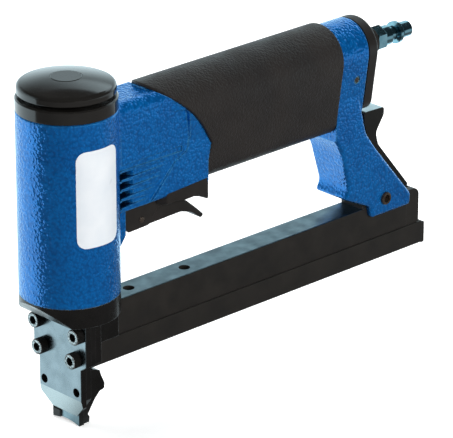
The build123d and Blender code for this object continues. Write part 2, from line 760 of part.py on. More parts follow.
def driver_guide():
    """Plate that closes the driver's channel in front, with an arched foot and a lug on one side."""
    half = nose_side() + [
        (NOSE_WAIST_HALF, NOSE_BEVEL_Z),
        (FOOT_HALF, NOSE_FOOT_Z + FOOT_FLARE_H),
        (FOOT_HALF, 0),
    ]
    guide = extrude(cross_plane(GUIDE_FRONT_X) * outline(mirrored(half)), amount=GUIDE_T)
    lug_x = (GUIDE_FRONT_X - LUG_PROUD, GUIDE_FRONT_X + LUG_PROUD)
    lug = block(lug_x, (LUG_INNER_Y, NOSE_TIP_HALF), (0, NOSE_FOOT_Z - SIDE_GAP))
    guide += chamfer(lug.faces().sort_by(Axis.X)[0].edges().sort_by(Axis.Z)[1:], LUG_EDGE)
    arch_r = (FOOT_HALF ** 2 + FOOT_ARCH_H ** 2) / (2 * FOOT_ARCH_H)
    arch_z = FOOT_ARCH_H - arch_r
    guide -= rod(arch_r, (PLATE_FRONT_X, 0, arch_z), (0, 0, arch_z))
    for y, z in screw_places():
        guide -= rod(SCREW_R + SIDE_GAP, (PLATE_FRONT_X, y, z), (1, y, z))
    for side in (-1, 1):
        y, z = side * NOSE_HOLE[0], NOSE_HOLE[1]
        guide -= rod(NOSE_HOLE_R, (PLATE_FRONT_X, y, z), (1, y, z))
    return guide


def nose_body():
    """Base flange under the barrel, with the rear driver guide and the rail's cheeks."""
    base = rod(BARREL_R, (0, 0, MAG_TOP_Z), (0, 0, CAST_Z))
    slant = [
        (BASE_CUT_X, MAG_TOP_Z),
        (BASE_CUT_X - 20, MAG_TOP_Z + 20),
        (BASE_CUT_X - 20, MAG_TOP_Z - 1),
        (BASE_CUT_X - 1, MAG_TOP_Z - 1),
    ]
    base -= side_plate(slant, 2 * BARREL_R)
    base += rod(LEDGE_BORE_R - RUN_GAP, (0, 0, CAST_Z), (0, 0, CAST_Z + 3.5))
    flange_half = mirrored([(NOSE_TOP_HALF - 0.5, MAG_TOP_Z), (NOSE_TOP_HALF - 0.5, NOSE_WAIST_Z + 1.2)])
    base += extrude(cross_plane(-CHANNEL_X) * outline(flange_half), amount=FLANGE_T)
    chin_top = DRAWER_Z - FREE_GAP
    chin = [
        (-CHANNEL_X, 0),
        (3.1, 0),
        (3.4, 0.10 * chin_top),
        (2.4, 0.16 * chin_top),
        (6.6, 0.41 * chin_top),
        (9.6, 0.53 * chin_top),
        (12.2, 0.55 * chin_top),
        (12.6, 0.65 * chin_top),
        (10.4, 0.85 * chin_top),
        (9.8, 0.94 * chin_top),
        (6.4, chin_top),
        (FLANGE_END_X, chin_top),
        (FLANGE_END_X, NOSE_WAIST_Z + 3),
        (-CHANNEL_X, NOSE_WAIST_Z + 3),
    ]
    radii = [0, 0.4, 0.8, 0.6, 3, 1.5, 0.8, 1.5, 2, 1, 1.5, 0, 0, 0]
    base += side_plate(chin, CHIN_HALF, radii)
    base += bar((0, CHEEK_END_X), CHEEK_HALF, (RAIL_FOOT_Z + SIDE_GAP, MAG_TOP_Z))
    rail_half = RAIL_HALF + RUN_GAP
    base -= bar((FLANGE_END_X, BARREL_R + 5), rail_half, (DRAWER_Z, MAG_TOP_Z))
    window = (DRAWER_FLOOR_Z - 1.5, RAIL_CEILING_Z)
    base -= bar((0, FLANGE_END_X + 1), RAIL_INNER_HALF, window)
    base -= bar((-CHANNEL_X - 1, CHANNEL_X), CHANNEL_HALF, (-1, MAG_TOP_Z))
    base -= bar((-CHANNEL_X, CHANNEL_X), CHANNEL_HALF, (MAG_TOP_Z - 1, CAST_Z + 10))
    for y, z in screw_places():
        base -= rod(SCREW_R + RUN_GAP, (-2, y, z), (FLANGE_END_X + 1, y, z))
    for x, y in base_screw_places():
        base -= rod(SCREW_HEAD_R + SIDE_GAP, (x, y, MAG_TOP_Z), (x, y, MAG_TOP_Z + BASE_SCREW_SINK))
        base -= rod(SCREW_R + SIDE_GAP, (x, y, MAG_TOP_Z), (x, y, CAST_Z))
    for x in rail_screw_places()[:2]:
        base -= rod(SMALL_SCREW_R + RUN_GAP, (x, 0, MAG_TOP_Z), (x, 0, MAG_TOP_Z + 6))
    return base


def nose_screws():
    """Four socket screws through the nose plate and guide into the nose body."""
    length = PLATE_T + GUIDE_T + FLANGE_T - 0.4
    return [socket_screw((PLATE_FRONT_X, y, z), (1, 0, 0), length) for y, z in screw_places()]


def base_screws():
    """Four socket screws that hold the nose body to the casting."""
    head_z = MAG_TOP_Z + BASE_SCREW_SINK
    length = LEDGE_Z - 2 - head_z
    return [socket_screw((x, y, head_z), (0, 0, 1), length) for x, y in base_screw_places()]


def cylinder_liner():
    """Cylinder sleeve with a foot flange and a row of return-air holes."""
    foot_r = BARREL_BORE_R - RUN_GAP
    foot_z = LEDGE_Z + LINER_FLANGE_H
    liner = turned([
        (CYLINDER_R, LEDGE_Z),
        (foot_r, LEDGE_Z),
        (foot_r, foot_z),
        (LINER_R, foot_z),
        (LINER_R, LINER_TOP_Z - 1),
        (LINER_R - 1, LINER_TOP_Z),
        (CYLINDER_R, LINER_TOP_Z),
    ])
    hole_z = LEDGE_Z + BUMPER_H + 3
    for i in range(4):
        angle = math.radians(45 * i)
        reach = Vector(math.cos(angle), math.sin(angle), 0) * (LINER_R + 1)
        centre = Vector(0, 0, hole_z)
        liner -= rod(LINER_HOLE_R, tuple(centre - reach), tuple(centre + reach))
    return liner


def liner_seal():
    """Seal ring in the air space, on the liner's foot flange."""
    half = AIR_GAP / 2 - RUN_GAP
    return seal_ring(BARREL_BORE_R - RUN_GAP, half, LEDGE_Z + LINER_FLANGE_H + half)


def bumper():
    """Rubber buffer at the foot of the cylinder."""
    outer = CYLINDER_R - FREE_GAP
    z0, z1 = LEDGE_Z, LEDGE_Z + BUMPER_H
    middle = (z0 + z1) / 2
    return turned([
        (BUMPER_BORE_R, z0),
        (outer, z0),
        (outer, middle - 1.2),
        (outer - 1.2, middle),
        (outer, middle + 1.2),
        (outer, z1 - 0.8),
        (outer - 0.8, z1),
        (BUMPER_BORE_R + 0.8, z1),
        (BUMPER_BORE_R, z1 - 0.8),
    ])


def piston():
    """Piston with a seal groove and a boss that holds the driver blade."""
    outer = CYLINDER_R - RUN_GAP
    groove_z = PISTON_Z + PISTON_GROOVE_RISE
    groove_h = 2 * SEAL_HALF + SIDE_GAP
    groove_r = outer - 2 * SEAL_HALF - RUN_GAP
    boss_z = PISTON_Z - PISTON_BOSS_H
    body = turned([
        (0, boss_z),
        (PISTON_BOSS_R, boss_z),
        (PISTON_BOSS_R, PISTON_Z),
        (outer - 0.6, PISTON_Z),
        (outer, PISTON_Z + 0.6),
        (outer, groove_z),
        (groove_r, groove_z),
        (groove_r, groove_z + groove_h),
        (outer, groove_z + groove_h),
        (outer, PISTON_TOP_Z - 0.6),
        (outer - 0.6, PISTON_TOP_Z),
        (outer - 4, PISTON_TOP_Z),
        (outer - 6, PISTON_TOP_Z - 1.5),
        (0, PISTON_TOP_Z - 1.5),
    ])
    body -= bar((-CHANNEL_X, CHANNEL_X), CHANNEL_HALF, (boss_z, PISTON_Z + 3.2))
    return body - rod(DRIVER_PIN_R + RUN_GAP, (-20, 0, DRIVER_PIN_Z), (20, 0, DRIVER_PIN_Z))


def piston_seal():
    """Seal ring in the piston's groove."""
    z = PISTON_Z + PISTON_GROOVE_RISE + SEAL_HALF + SIDE_GAP / 2
    return seal_ring(CYLINDER_R - RUN_GAP, SEAL_HALF, z)


def driver_blade():
    """Hardened blade that drives the staple."""
    blade = bar((-BLADE_T / 2, BLADE_T / 2), BLADE_W / 2, (BLADE_TIP_Z, PISTON_Z + 3))
    return blade - rod(DRIVER_PIN_R + RUN_GAP, (-2, 0, DRIVER_PIN_Z), (2, 0, DRIVER_PIN_Z))


def driver_pin():
    """Cross pin that holds the blade in the piston's boss."""
    reach = math.sqrt(PISTON_BOSS_R ** 2 - DRIVER_PIN_R ** 2) - 0.2
    return rod(DRIVER_PIN_R, (-reach, 0, DRIVER_PIN_Z), (reach, 0, DRIVER_PIN_Z))


def head_valve():
    """Valve that opens the top of the cylinder, guided by its stem."""
    disc_r = LINER_R - 0.8
    top = HEAD_VALVE_TOP_Z + VALVE_STEM_H
    return turned([
        (VALVE_STEM_R - 2.5, HEAD_VALVE_Z),
        (disc_r, HEAD_VALVE_Z),
        (disc_r, HEAD_VALVE_TOP_Z - 0.8),
        (disc_r - 0.8, HEAD_VALVE_TOP_Z),
        (VALVE_STEM_R, HEAD_VALVE_TOP_Z),
        (VALVE_STEM_R, top - 0.6),
        (VALVE_STEM_R - 0.6, top),
        (VALVE_STEM_R - 2.5, top),
    ])


def head_valve_seal():
    """Rubber ring under the head valve."""
    return tube(LINER_R - 0.8, CYLINDER_R - 3, (0, 0, VALVE_SEAL_Z), (0, 0, HEAD_VALVE_Z))


def head_valve_spring():
    """Disc spring between the head valve and the cylinder head."""
    inner = VALVE_STEM_R + FREE_GAP
    low = HEAD_VALVE_TOP_Z + RUN_GAP
    high = HEAD_Z - RUN_GAP
    return turned([
        (inner, low),
        (HEAD_SPRING_R, high - HEAD_SPRING_T),
        (HEAD_SPRING_R, high),
        (inner, low + HEAD_SPRING_T),
    ])


def cylinder_head():
    """Collar on the barrel, with the head valve's guide and the vents."""
    spigot_r = HEAD_SEAT_R - RUN_GAP
    half = SNAP_RING_HALF + RUN_GAP
    ring_r = HEAD_SEAT_R - half
    seal_z = HEAD_Z + HEAD_SEAL_RISE
    seal_h = 2 * SEAL_HALF + SIDE_GAP
    seal_r = spigot_r - 2 * SEAL_HALF - RUN_GAP
    roof_z = COLLAR_TOP_Z - 4.4
    head = turned([
        (0, roof_z),
        (VALVE_STEM_R + RUN_GAP, roof_z),
        (VALVE_STEM_R + RUN_GAP, HEAD_Z),
        (spigot_r, HEAD_Z),
        (spigot_r, seal_z),
        (seal_r, seal_z),
        (seal_r, seal_z + seal_h),
        (spigot_r, seal_z + seal_h),
        (spigot_r, SNAP_RING_Z - half),
        (ring_r, SNAP_RING_Z - half),
        (ring_r, SNAP_RING_Z + half),
        (spigot_r, SNAP_RING_Z + half),
        (spigot_r, BARREL_TOP_Z),
        (BARREL_R - 0.4, BARREL_TOP_Z),
        (BARREL_R, BARREL_TOP_Z + 0.4),
        (BARREL_R, COLLAR_TOP_Z - 0.6),
        (BARREL_R - 0.6, COLLAR_TOP_Z),
        (0, COLLAR_TOP_Z),
    ])
    for place in PolarLocations(VENT_RING_R, VENT_COUNT):
        head -= Pos(0, 0, HEAD_Z) * place * Cylinder(VENT_R, COLLAR_TOP_Z - HEAD_Z, align=MIN_ALIGN)
    return head - rod(SCREW_R + RUN_GAP, (0, 0, roof_z), (0, 0, COLLAR_TOP_Z))


def head_seal():
    """Seal ring between the cylinder head and the barrel."""
    z = HEAD_Z + HEAD_SEAL_RISE + SEAL_HALF + SIDE_GAP / 2
    return seal_ring(HEAD_SEAT_R - RUN_GAP, SEAL_HALF, z)


def retaining_ring():
    """Split snap ring that locks the cylinder head into the barrel."""
    low = SNAP_RING_Z - SNAP_RING_HALF
    high = SNAP_RING_Z + SNAP_RING_HALF
    ring = tube(HEAD_SEAT_R + SNAP_RING_HALF, HEAD_SEAT_R - SNAP_RING_HALF, (0, 0, low), (0, 0, high))
    return ring - block((HEAD_SEAT_R - 4, HEAD_SEAT_R + 4), (-2, 2), (HEAD_Z, BARREL_TOP_Z))


def exhaust_deflector():
    """Domed cap over the all-round exhaust gap."""
    inner_r = DOME_R - DOME_WALL
    roof_z = DOME_Z + 2
    edge = (DOME_R - 1.6, DOME_RIM_Z + 0.14 * DOME_RISE)
    lines = [
        Line((0, COLLAR_TOP_Z), (DOME_BOSS_R, COLLAR_TOP_Z)),
        Line((DOME_BOSS_R, COLLAR_TOP_Z), (DOME_BOSS_R, roof_z)),
        Line((DOME_BOSS_R, roof_z), (inner_r, roof_z)),
        Line((inner_r, roof_z), (inner_r, DOME_Z)),
        Line((inner_r, DOME_Z), (DOME_R - 0.4, DOME_Z)),
        Line((DOME_R - 0.4, DOME_Z), (DOME_R, DOME_Z + 0.4)),
        Line((DOME_R, DOME_Z + 0.4), (DOME_R, DOME_RIM_Z - 1.6)),
        ThreePointArc((DOME_R, DOME_RIM_Z - 1.6), (DOME_R - 0.5, DOME_RIM_Z - 0.2), edge),
        ThreePointArc(edge, (DOME_R / 2, DOME_RIM_Z + 0.75 * DOME_RISE), (0, DOME_TOP_Z)),
        Line((0, DOME_TOP_Z), (0, COLLAR_TOP_Z)),
    ]
    dome = revolve(Plane.XZ * make_face(lines), axis=Axis.Z)
    seat_z = DOME_TOP_Z - DOME_PLUG_H - SIDE_GAP
    dome -= rod(DOME_PLUG_R + RUN_GAP, (0, 0, seat_z), (0, 0, DOME_TOP_Z + 1))
    dome -= rod(SCREW_HEAD_R + SIDE_GAP, (0, 0, DOME_Z), (0, 0, DOME_TOP_Z))
    return dome - rod(SCREW_R + SIDE_GAP, (0, 0, COLLAR_TOP_Z), (0, 0, DOME_TOP_Z))


def deflector_screw():
    """Socket screw that holds the deflector on the cylinder head."""
    length = DOME_Z - COLLAR_TOP_Z + 4.0
    return socket_screw((0, 0, DOME_Z), (0, 0, -1), length)


def deflector_plug():
    """Round disc that covers the deflector's screw."""
    seat_z = DOME_TOP_Z - DOME_PLUG_H - SIDE_GAP
    disc = rod(DOME_PLUG_R, (0, 0, seat_z), (0, 0, seat_z + DOME_PLUG_H))
    return chamfer(disc.edges().sort_by(Axis.Z)[-1], 0.3)


def bracket_screw_places():
    """X places of the two screws that hold the trigger bracket."""
    return [BRACKET_FRONT_X + 7.4, VALVE_X + 14.5]


def trigger_bracket():
    """Carrier under the neck: a channel whose cheeks hold the trigger's pin."""
    z = NECK_Z
    front = BRACKET_FRONT_X
    inner_end = front + BRACKET_L - BRACKET_END_T
    points = [
        (front, z),
        (front, z - 10.7),
        (front + 1.5, z - 12.1),
        (front + 14.0, z - 11.6),
        (front + 18.7, z - 4.6),
        (front + 37.8, z - 4.9),
        (inner_end, z - 6.5),
        (front + BRACKET_L, z - 9.3),
        (front + BRACKET_L, z),
    ]
    radii = [0, 1.5, 1, 3, 3, 6, 4, 0.6, 0]
    bracket = side_plate(points, BRACKET_HALF, radii)
    bracket -= bar((front - 1, inner_end), TRIGGER_HALF + SIDE_GAP, (z - 20, BRACKET_ROOF_Z))
    pin = (TRIGGER_PIN_X, TRIGGER_PIN_Z)
    bracket -= rod(TRIGGER_PIN_R + RUN_GAP, (pin[0], -20, pin[1]), (pin[0], 20, pin[1]))
    bracket -= rod(STEM_R + SIDE_GAP, (VALVE_X, 0, z - 10), (VALVE_X, 0, z))
    for x in bracket_screw_places():
        bracket -= countersink((x, 0, BRACKET_ROOF_Z), (0, 0, 1), 6, FLAT_SCREW_R)
    return bracket


def bracket_screws():
    """Two countersunk screws up through the bracket into the neck."""
    return [
        flat_screw((x, 0, BRACKET_ROOF_Z), (0, 0, 1), BRACKET_PLATE_T + 7, FLAT_SCREW_R)
        for x in bracket_screw_places()
    ]


def trigger():
    """Finger lever with a hooked tab, hinged at its front."""
    z = NECK_Z
    x = TRIGGER_PIN_X
    points = [
        (x - 7.2, TRIGGER_TOP_Z + 0.9),
        (x - 7.2, z - 11),
        (x - 5.6, z - 12.5),
        (x + 8.5, z - 12.8),
        (x + 26, z - 12.3),
        (x + 32.5, z - 14.4),
        (x + 38.2, z - 18.7),
        (x + 39.8, z - 17.2),
        (x + 34.9, z - 12.6),
        (x + 28.5, z - 7.1),
        (x + 16.9, TRIGGER_TOP_Z),
    ]
    radii = [1, 1, 1, 20, 12, 12, 0.9, 0.9, 18, 6, 8]
    lever = side_plate(points, TRIGGER_HALF, radii)
    tab = [e for e in lever.edges() if e.center().X > x + 14 and abs(e.center().Y) > TRIGGER_HALF - 0.1]
    lever = fillet(tab, 0.9)
    pin = TRIGGER_PIN_Z
    return lever - rod(TRIGGER_PIN_R + RUN_GAP, (x, -20, pin), (x, 20, pin))


def trigger_pin():
    """Pin through the bracket's cheeks and the trigger."""
    reach = BRACKET_HALF + 0.15
    return rod(TRIGGER_PIN_R, (TRIGGER_PIN_X, -reach, TRIGGER_PIN_Z), (TRIGGER_PIN_X, reach, TRIGGER_PIN_Z))


def valve_seal_heights():
    """Heights of the two seals round the valve bushing."""
    return [NECK_Z + 3, NECK_Z + 15]


def valve_bushing():
    """Bushing of the trigger valve, with its chamber, ports and seal grooves."""
    floor_z = NECK_Z + VALVE_FLOOR_H
    bushing = rod(VALVE_R, (VALVE_X, 0, NECK_Z), (VALVE_X, 0, VALVE_TOP_Z))
    bushing -= rod(STEM_R + RUN_GAP, (VALVE_X, 0, NECK_Z), (VALVE_X, 0, VALVE_TOP_Z))
    bushing -= rod(VALVE_CHAMBER_R, (VALVE_X, 0, floor_z), (VALVE_X, 0, VALVE_TOP_Z))
    port_z = NECK_Z + VALVE_PORT_RISE
    bushing -= rod(VALVE_PORT_R, (VALVE_X - 20, 0, port_z), (VALVE_X + 20, 0, port_z))
    bushing -= rod(VALVE_PORT_R, (VALVE_X, -20, port_z), (VALVE_X, 20, port_z))
    half = SMALL_SEAL_HALF + RUN_GAP
    inner = VALVE_R - 2 * half
    for z in valve_seal_heights():
        bushing -= tube(VALVE_R + 1, inner, (VALVE_X, 0, z - half), (VALVE_X, 0, z + half))
    return bushing


def valve_bushing_seals():
    """Two seal rings on the valve bushing."""
    return [Pos(VALVE_X, 0, z) * seal_ring(VALVE_R, SMALL_SEAL_HALF) for z in valve_seal_heights()]


def valve_stem():
    """Stem that the trigger lifts off its seat."""
    foot_z = TRIGGER_TOP_Z + SIDE_GAP
    seat_z = NECK_Z + VALVE_FLOOR_H + 3
    stem = rod(STEM_R, (VALVE_X, 0, foot_z), (VALVE_X, 0, seat_z))
    stem = fillet(stem.edges().sort_by(Axis.Z)[0], 1)
    stem += rod(STEM_HEAD_R, (VALVE_X, 0, seat_z), (VALVE_X, 0, seat_z + 3))
    return stem + rod(STEM_TAIL_R, (VALVE_X, 0, seat_z + 3), (VALVE_X, 0, VALVE_TOP_Z - VALVE_LID_H + 0.5))


def valve_spring():
    """Spring that returns the stem and the trigger."""
    low = NECK_Z + VALVE_FLOOR_H + 6 + VALVE_SPRING_WIRE_R + RUN_GAP
    high = VALVE_TOP_Z - VALVE_LID_H - VALVE_SPRING_WIRE_R - RUN_GAP
    base = Plane(origin=(VALVE_X, 0, low))
    height = high - low
    return coil_spring(base, VALVE_SPRING_R, VALVE_SPRING_WIRE_R, VALVE_SPRING_TURNS, height, "valve_spring")


def valve_plug():
    """Lid of the valve's chamber, with a hole for the stem's tail."""
    low = VALVE_TOP_Z - VALVE_LID_H
    lid_r = VALVE_CHAMBER_R - RUN_GAP
    return tube(lid_r, STEM_TAIL_R + RUN_GAP, (VALVE_X, 0, low), (VALVE_X, 0, VALVE_TOP_Z))


def end_cap():
    """Cap of the handle, with a hollow spigot and the boss for the air plug."""
    rear_x = HANDLE_END_X + CAP_T
    cap = handle_prism(SLEEVE_PROUD, HANDLE_END_X, rear_x, CAP_BOTTOM_Z)
    cap = fillet(cap.faces().sort_by(Axis.X)[-1].edges(), 1.5)
    cap += rod(CAP_BOSS_R, (rear_x - 1, 0, PLUG_Z), (PLUG_SEAT_X, 0, PLUG_Z))
    start_x = HANDLE_END_X - CAP_SPIGOT_L
    spigot_r = HANDLE_BORE_R - RUN_GAP
    bore_z = HANDLE_BORE_Z
    cap += rod(spigot_r, (start_x, 0, bore_z), (HANDLE_END_X, 0, bore_z))
    cap -= rod(spigot_r - CAP_SPIGOT_WALL, (start_x, 0, bore_z), (HANDLE_END_X + 1.5, 0, bore_z))
    cap -= rod(PLUG_THREAD_R + RUN_GAP, (HANDLE_END_X + 3, 0, PLUG_Z), (PLUG_SEAT_X, 0, PLUG_Z))
    cap -= rod(PLUG_BORE_R, (HANDLE_END_X - 1, 0, PLUG_Z), (PLUG_SEAT_X, 0, PLUG_Z))
    cap -= rod(CAP_PIN_R + RUN_GAP, (CAP_PIN_X, -30, CAP_PIN_Z), (CAP_PIN_X, 30, CAP_PIN_Z))
    half = SMALL_SEAL_HALF + RUN_GAP
    groove = (start_x + CAP_SEAL_INSET - half, start_x + CAP_SEAL_INSET + half)
    return cap - tube(spigot_r + 1, spigot_r - 2 * half, (groove[0], 0, bore_z), (groove[1], 0, bore_z))


def end_cap_seal():
    """Seal ring in the end cap's spigot."""
    x = HANDLE_END_X - CAP_SPIGOT_L + CAP_SEAL_INSET
    ring = seal_ring(HANDLE_BORE_R - RUN_GAP, SMALL_SEAL_HALF)
    return Plane(origin=(x, 0, HANDLE_BORE_Z), z_dir=(1, 0, 0)) * ring


def end_cap_pin():
    """Slotted roll pin through the handle's band and the end cap's spigot."""
    half = GRIP_TOP_HALF - GRIP_SLOPE * (GRIP_TOP_Z - CAP_PIN_Z) - SLEEVE_PROUD - 0.2
    pin = tube(CAP_PIN_R, CAP_PIN_R - 0.55, (CAP_PIN_X, -half, CAP_PIN_Z), (CAP_PIN_X, half, CAP_PIN_Z))
    slit = (CAP_PIN_Z - 0.25, CAP_PIN_Z + 0.25)
    return pin - bar((CAP_PIN_X, CAP_PIN_X + 3), half + 1, slit)


def plug_washer():
    """Sealing washer under the air plug's hexagon."""
    end = (PLUG_SEAT_X + WASHER_T, 0, PLUG_Z)
    return tube(PLUG_HEX_AF / 2 + SIDE_GAP, PLUG_THREAD_R + RUN_GAP, (PLUG_SEAT_X, 0, PLUG_Z), end)


def plug_stations():
    """X places along the air plug: hexagon, shank, neck, collar, groove, tip and end."""
    hexagon = PLUG_SEAT_X + WASHER_T
    shank = hexagon + PLUG_HEX_L
    neck_x = shank + PLUG_SHANK_L
    collar = neck_x + PLUG_NECK_L
    groove = collar + PLUG_COLLAR_L
    tip = groove + PLUG_GROOVE_L
    return hexagon, shank, neck_x, collar, groove, tip, tip + PLUG_TIP_L


def air_plug():
    """Male coupling plug: thread, hexagon, shank, collar and tip, bored through."""
    hexagon, shank, neck_x, collar, groove, tip, end = plug_stations()
    body = turned_x([
        (HANDLE_END_X + 4, PLUG_BORE_R),
        (HANDLE_END_X + 4, PLUG_THREAD_R - 0.6),
        (HANDLE_END_X + 4.6, PLUG_THREAD_R),
        (hexagon + 1, PLUG_THREAD_R),
        (shank - 1, PLUG_THREAD_R),
        (shank - 1, PLUG_SHANK_R),
        (neck_x - 0.4, PLUG_SHANK_R),
        (neck_x, PLUG_SHANK_R - 0.4),
        (neck_x, PLUG_NECK_R),
        (collar, PLUG_NECK_R),
        (collar + 0.6, PLUG_COLLAR_R),
        (groove - 0.9, PLUG_COLLAR_R),
        (groove, PLUG_GROOVE_R),
        (tip, PLUG_GROOVE_R),
        (tip, PLUG_TIP_R),
        (end - 0.6, PLUG_TIP_R),
        (end, PLUG_TIP_R - 0.6),
        (end, PLUG_BORE_R),
    ], PLUG_Z)
    corner_r = PLUG_HEX_AF / math.sqrt(3)
    prism = extrude(
        Plane(origin=(hexagon, 0, PLUG_Z), z_dir=(1, 0, 0)) * RegularPolygon(corner_r, 6),
        amount=PLUG_HEX_L,
    )
    crown = turned_x([
        (hexagon, 0),
        (hexagon, corner_r - 0.5),
        (hexagon + 0.5, corner_r + 0.3),
        (shank - 0.5, corner_r + 0.3),
        (shank, corner_r - 0.5),
        (shank, 0),
    ], PLUG_Z)
    nut = (prism & crown) - rod(PLUG_BORE_R, (hexagon - 1, 0, PLUG_Z), (shank + 1, 0, PLUG_Z))
    return body + nut


def rail_screw_places():
    """X places of the countersunk screws under the rail's roof: two in front, two behind."""
    return [FLANGE_END_X + 5, CHEEK_END_X - 4, BRACKET_START_X + 3.4, BRACKET_START_X + 18.5]


def magazine_rail():
    """Upper magazine section: a channel open below, with beads that carry the drawer."""
    skirt = RAIL_INNER_HALF + RAIL_SKIRT_T
    bead = skirt + RAIL_BEAD_W
    foot = DRAWER_FLOOR_Z + FREE_GAP
    half = [
        (RAIL_HALF, MAG_TOP_Z),
        (RAIL_HALF, RAIL_FOOT_Z),
        (skirt, RAIL_FOOT_Z),
        (skirt, foot + RAIL_BEAD_H),
        (bead, foot + RAIL_BEAD_H),
        (bead, foot),
        (RAIL_INNER_HALF, foot),
        (RAIL_INNER_HALF, RAIL_CEILING_Z),
    ]
    radii = [0.6, 0, 0, 0, 0, 0, 0, 0.5]
    section = cross_plane(RAIL_START_X) * outline(mirrored(half), radii + radii[::-1])
    rail = extrude(section, amount=RAIL_END_X - RAIL_START_X)
    for x in RAIL_HOLES_X:
        rail -= rod(RAIL_HOLE_R, (x, 0, RAIL_CEILING_Z - 1), (x, 0, MAG_TOP_Z + 1))
    for x in rail_screw_places():
        rail -= countersink((x, 0, RAIL_CEILING_Z), (0, 0, 1), 4, SMALL_SCREW_R)
    slot = (RAIL_END_X - LATCH_SLOT_L, RAIL_END_X + 1)
    return rail - bar(slot, LATCH_NOSE_HALF + FREE_GAP, (RAIL_CEILING_Z - 1, MAG_TOP_Z + 1))


def rail_screws():
    """Four countersunk screws up through the rail's roof."""
    return [
        flat_screw((x, 0, RAIL_CEILING_Z), (0, 0, 1), RAIL_TOP_T + 4.5, SMALL_SCREW_R)
        for x in rail_screw_places()
    ]


def rear_bracket():
    """Block on the rail, clamped in the leg's fork, with the rail's rear frame."""
    rail = MAG_TOP_Z
    points = [
        (BRACKET_START_X, rail),
        (BRACKET_START_X, rail + 4),
        (BRACKET_START_X + 3.5, rail + 7.6),
        (LEG_BOLT_X + 5, rail + 7.6),
        (LEG_BOLT_X + 10.8, rail + 1.2),
        (BRACKET_END_X, rail + 1.2),
        (BRACKET_END_X, RAIL_FOOT_Z),
        (RAIL_END_X, RAIL_FOOT_Z),
        (RAIL_END_X, rail),
    ]
    radii = [0, 1, 2, 2.5, 2, 4, 0.5, 0, 0]
    bracket = side_plate(points, RAIL_HALF, radii)
    tunnel = (RAIL_FOOT_Z - 1, RAIL_CEILING_Z)
    bracket -= bar((RAIL_END_X - 1, BRACKET_END_X + 1), RAIL_INNER_HALF, tunnel)
    slot = (RAIL_END_X - LATCH_SLOT_L, RAIL_END_X + 4.8)
    bracket -= bar(slot, LATCH_NOSE_HALF + FREE_GAP, (RAIL_CEILING_Z - 1, rail + 5))
    bracket -= rod(LEG_BOLT_R + RUN_GAP, (LEG_BOLT_X, -20, BOLT_Z), (LEG_BOLT_X, 20, BOLT_Z))
    for x in rail_screw_places()[2:]:
        bracket -= rod(SMALL_SCREW_R + RUN_GAP, (x, 0, rail), (x, 0, rail + 5.5))
    return bracket


def leg_bolt():
    """Socket bolt through the leg's fork and the rear bracket."""
    half = LEG_FOOT_HALF + LEG_BOLT_PROUD
    bolt = rod(LEG_BOLT_R, (LEG_BOLT_X, -half, BOLT_Z), (LEG_BOLT_X, half, BOLT_Z))
    bolt = chamfer(bolt.edges().filter_by(GeomType.CIRCLE), 0.3)
    face = Plane(origin=(LEG_BOLT_X, -half, BOLT_Z), z_dir=(0, 1, 0))
    return bolt - extrude(face * RegularPolygon(SCREW_SOCKET_AF * 0.6, 6, major_radius=False), amount=3)


def latch_lever():
    """Thumb lever behind the leg, with a nose that reaches down to the drawer's catch."""
    points, radii = latch_outline()
    lever = side_plate(points, LATCH_HALF, radii)
    pin_x, pin_z = LATCH_PIN_X, LATCH_PIN_Z
    lever += rod(LATCH_BOSS_R, (pin_x, -LATCH_HALF, pin_z), (pin_x, LATCH_HALF, pin_z))
    end = HANDLE_END_X
    rail = MAG_TOP_Z
    nose = [
        (end + 27.5, rail + 7.5),
        (end + 33.6, rail + 4.6),
        (end + 33.6, LATCH_NOSE_Z),
        (end + 30.0, LATCH_NOSE_Z),
        (end + 29.0, rail + 2.5),
    ]
    lever += side_plate(nose, LATCH_NOSE_HALF, [0, 0, 0.8, 0.8, 0])
    return lever - rod(LATCH_PIN_R + RUN_GAP, (pin_x, -20, pin_z), (pin_x, 20, pin_z))


def latch_pin():
    """Pin of the latch lever, set in the leg's two cheeks."""
    start = -LATCH_HALF - LATCH_PIN_SINK + SLIDE_GAP
    return rod(LATCH_PIN_R, (LATCH_PIN_X, start, LATCH_PIN_Z), (LATCH_PIN_X, LEG_FOOT_HALF, LATCH_PIN_Z))


def latch_spring():
    """Leaf spring on the lever's inner side, bowed towards the leg."""
    x = HANDLE_END_X
    z = MAG_TOP_Z
    t = LATCH_SPRING_T
    points = [
        (x + 4.6, z + 43.2),
        (x + 6.25, z + 37.6),
        (x + 4.9, z + 33.0),
        (x + 5.5, z + 28.6),
        (x + 5.5 - t, z + 28.5),
        (x + 4.9 - t, z + 33.0),
        (x + 6.2 - t, z + 37.6),
        (x + 4.6 - t, z + 43.0),
    ]
    return side_plate(points, LATCH_SPRING_HALF, [0, 1.5, 6, 0, 0, 6, 1.5, 0])


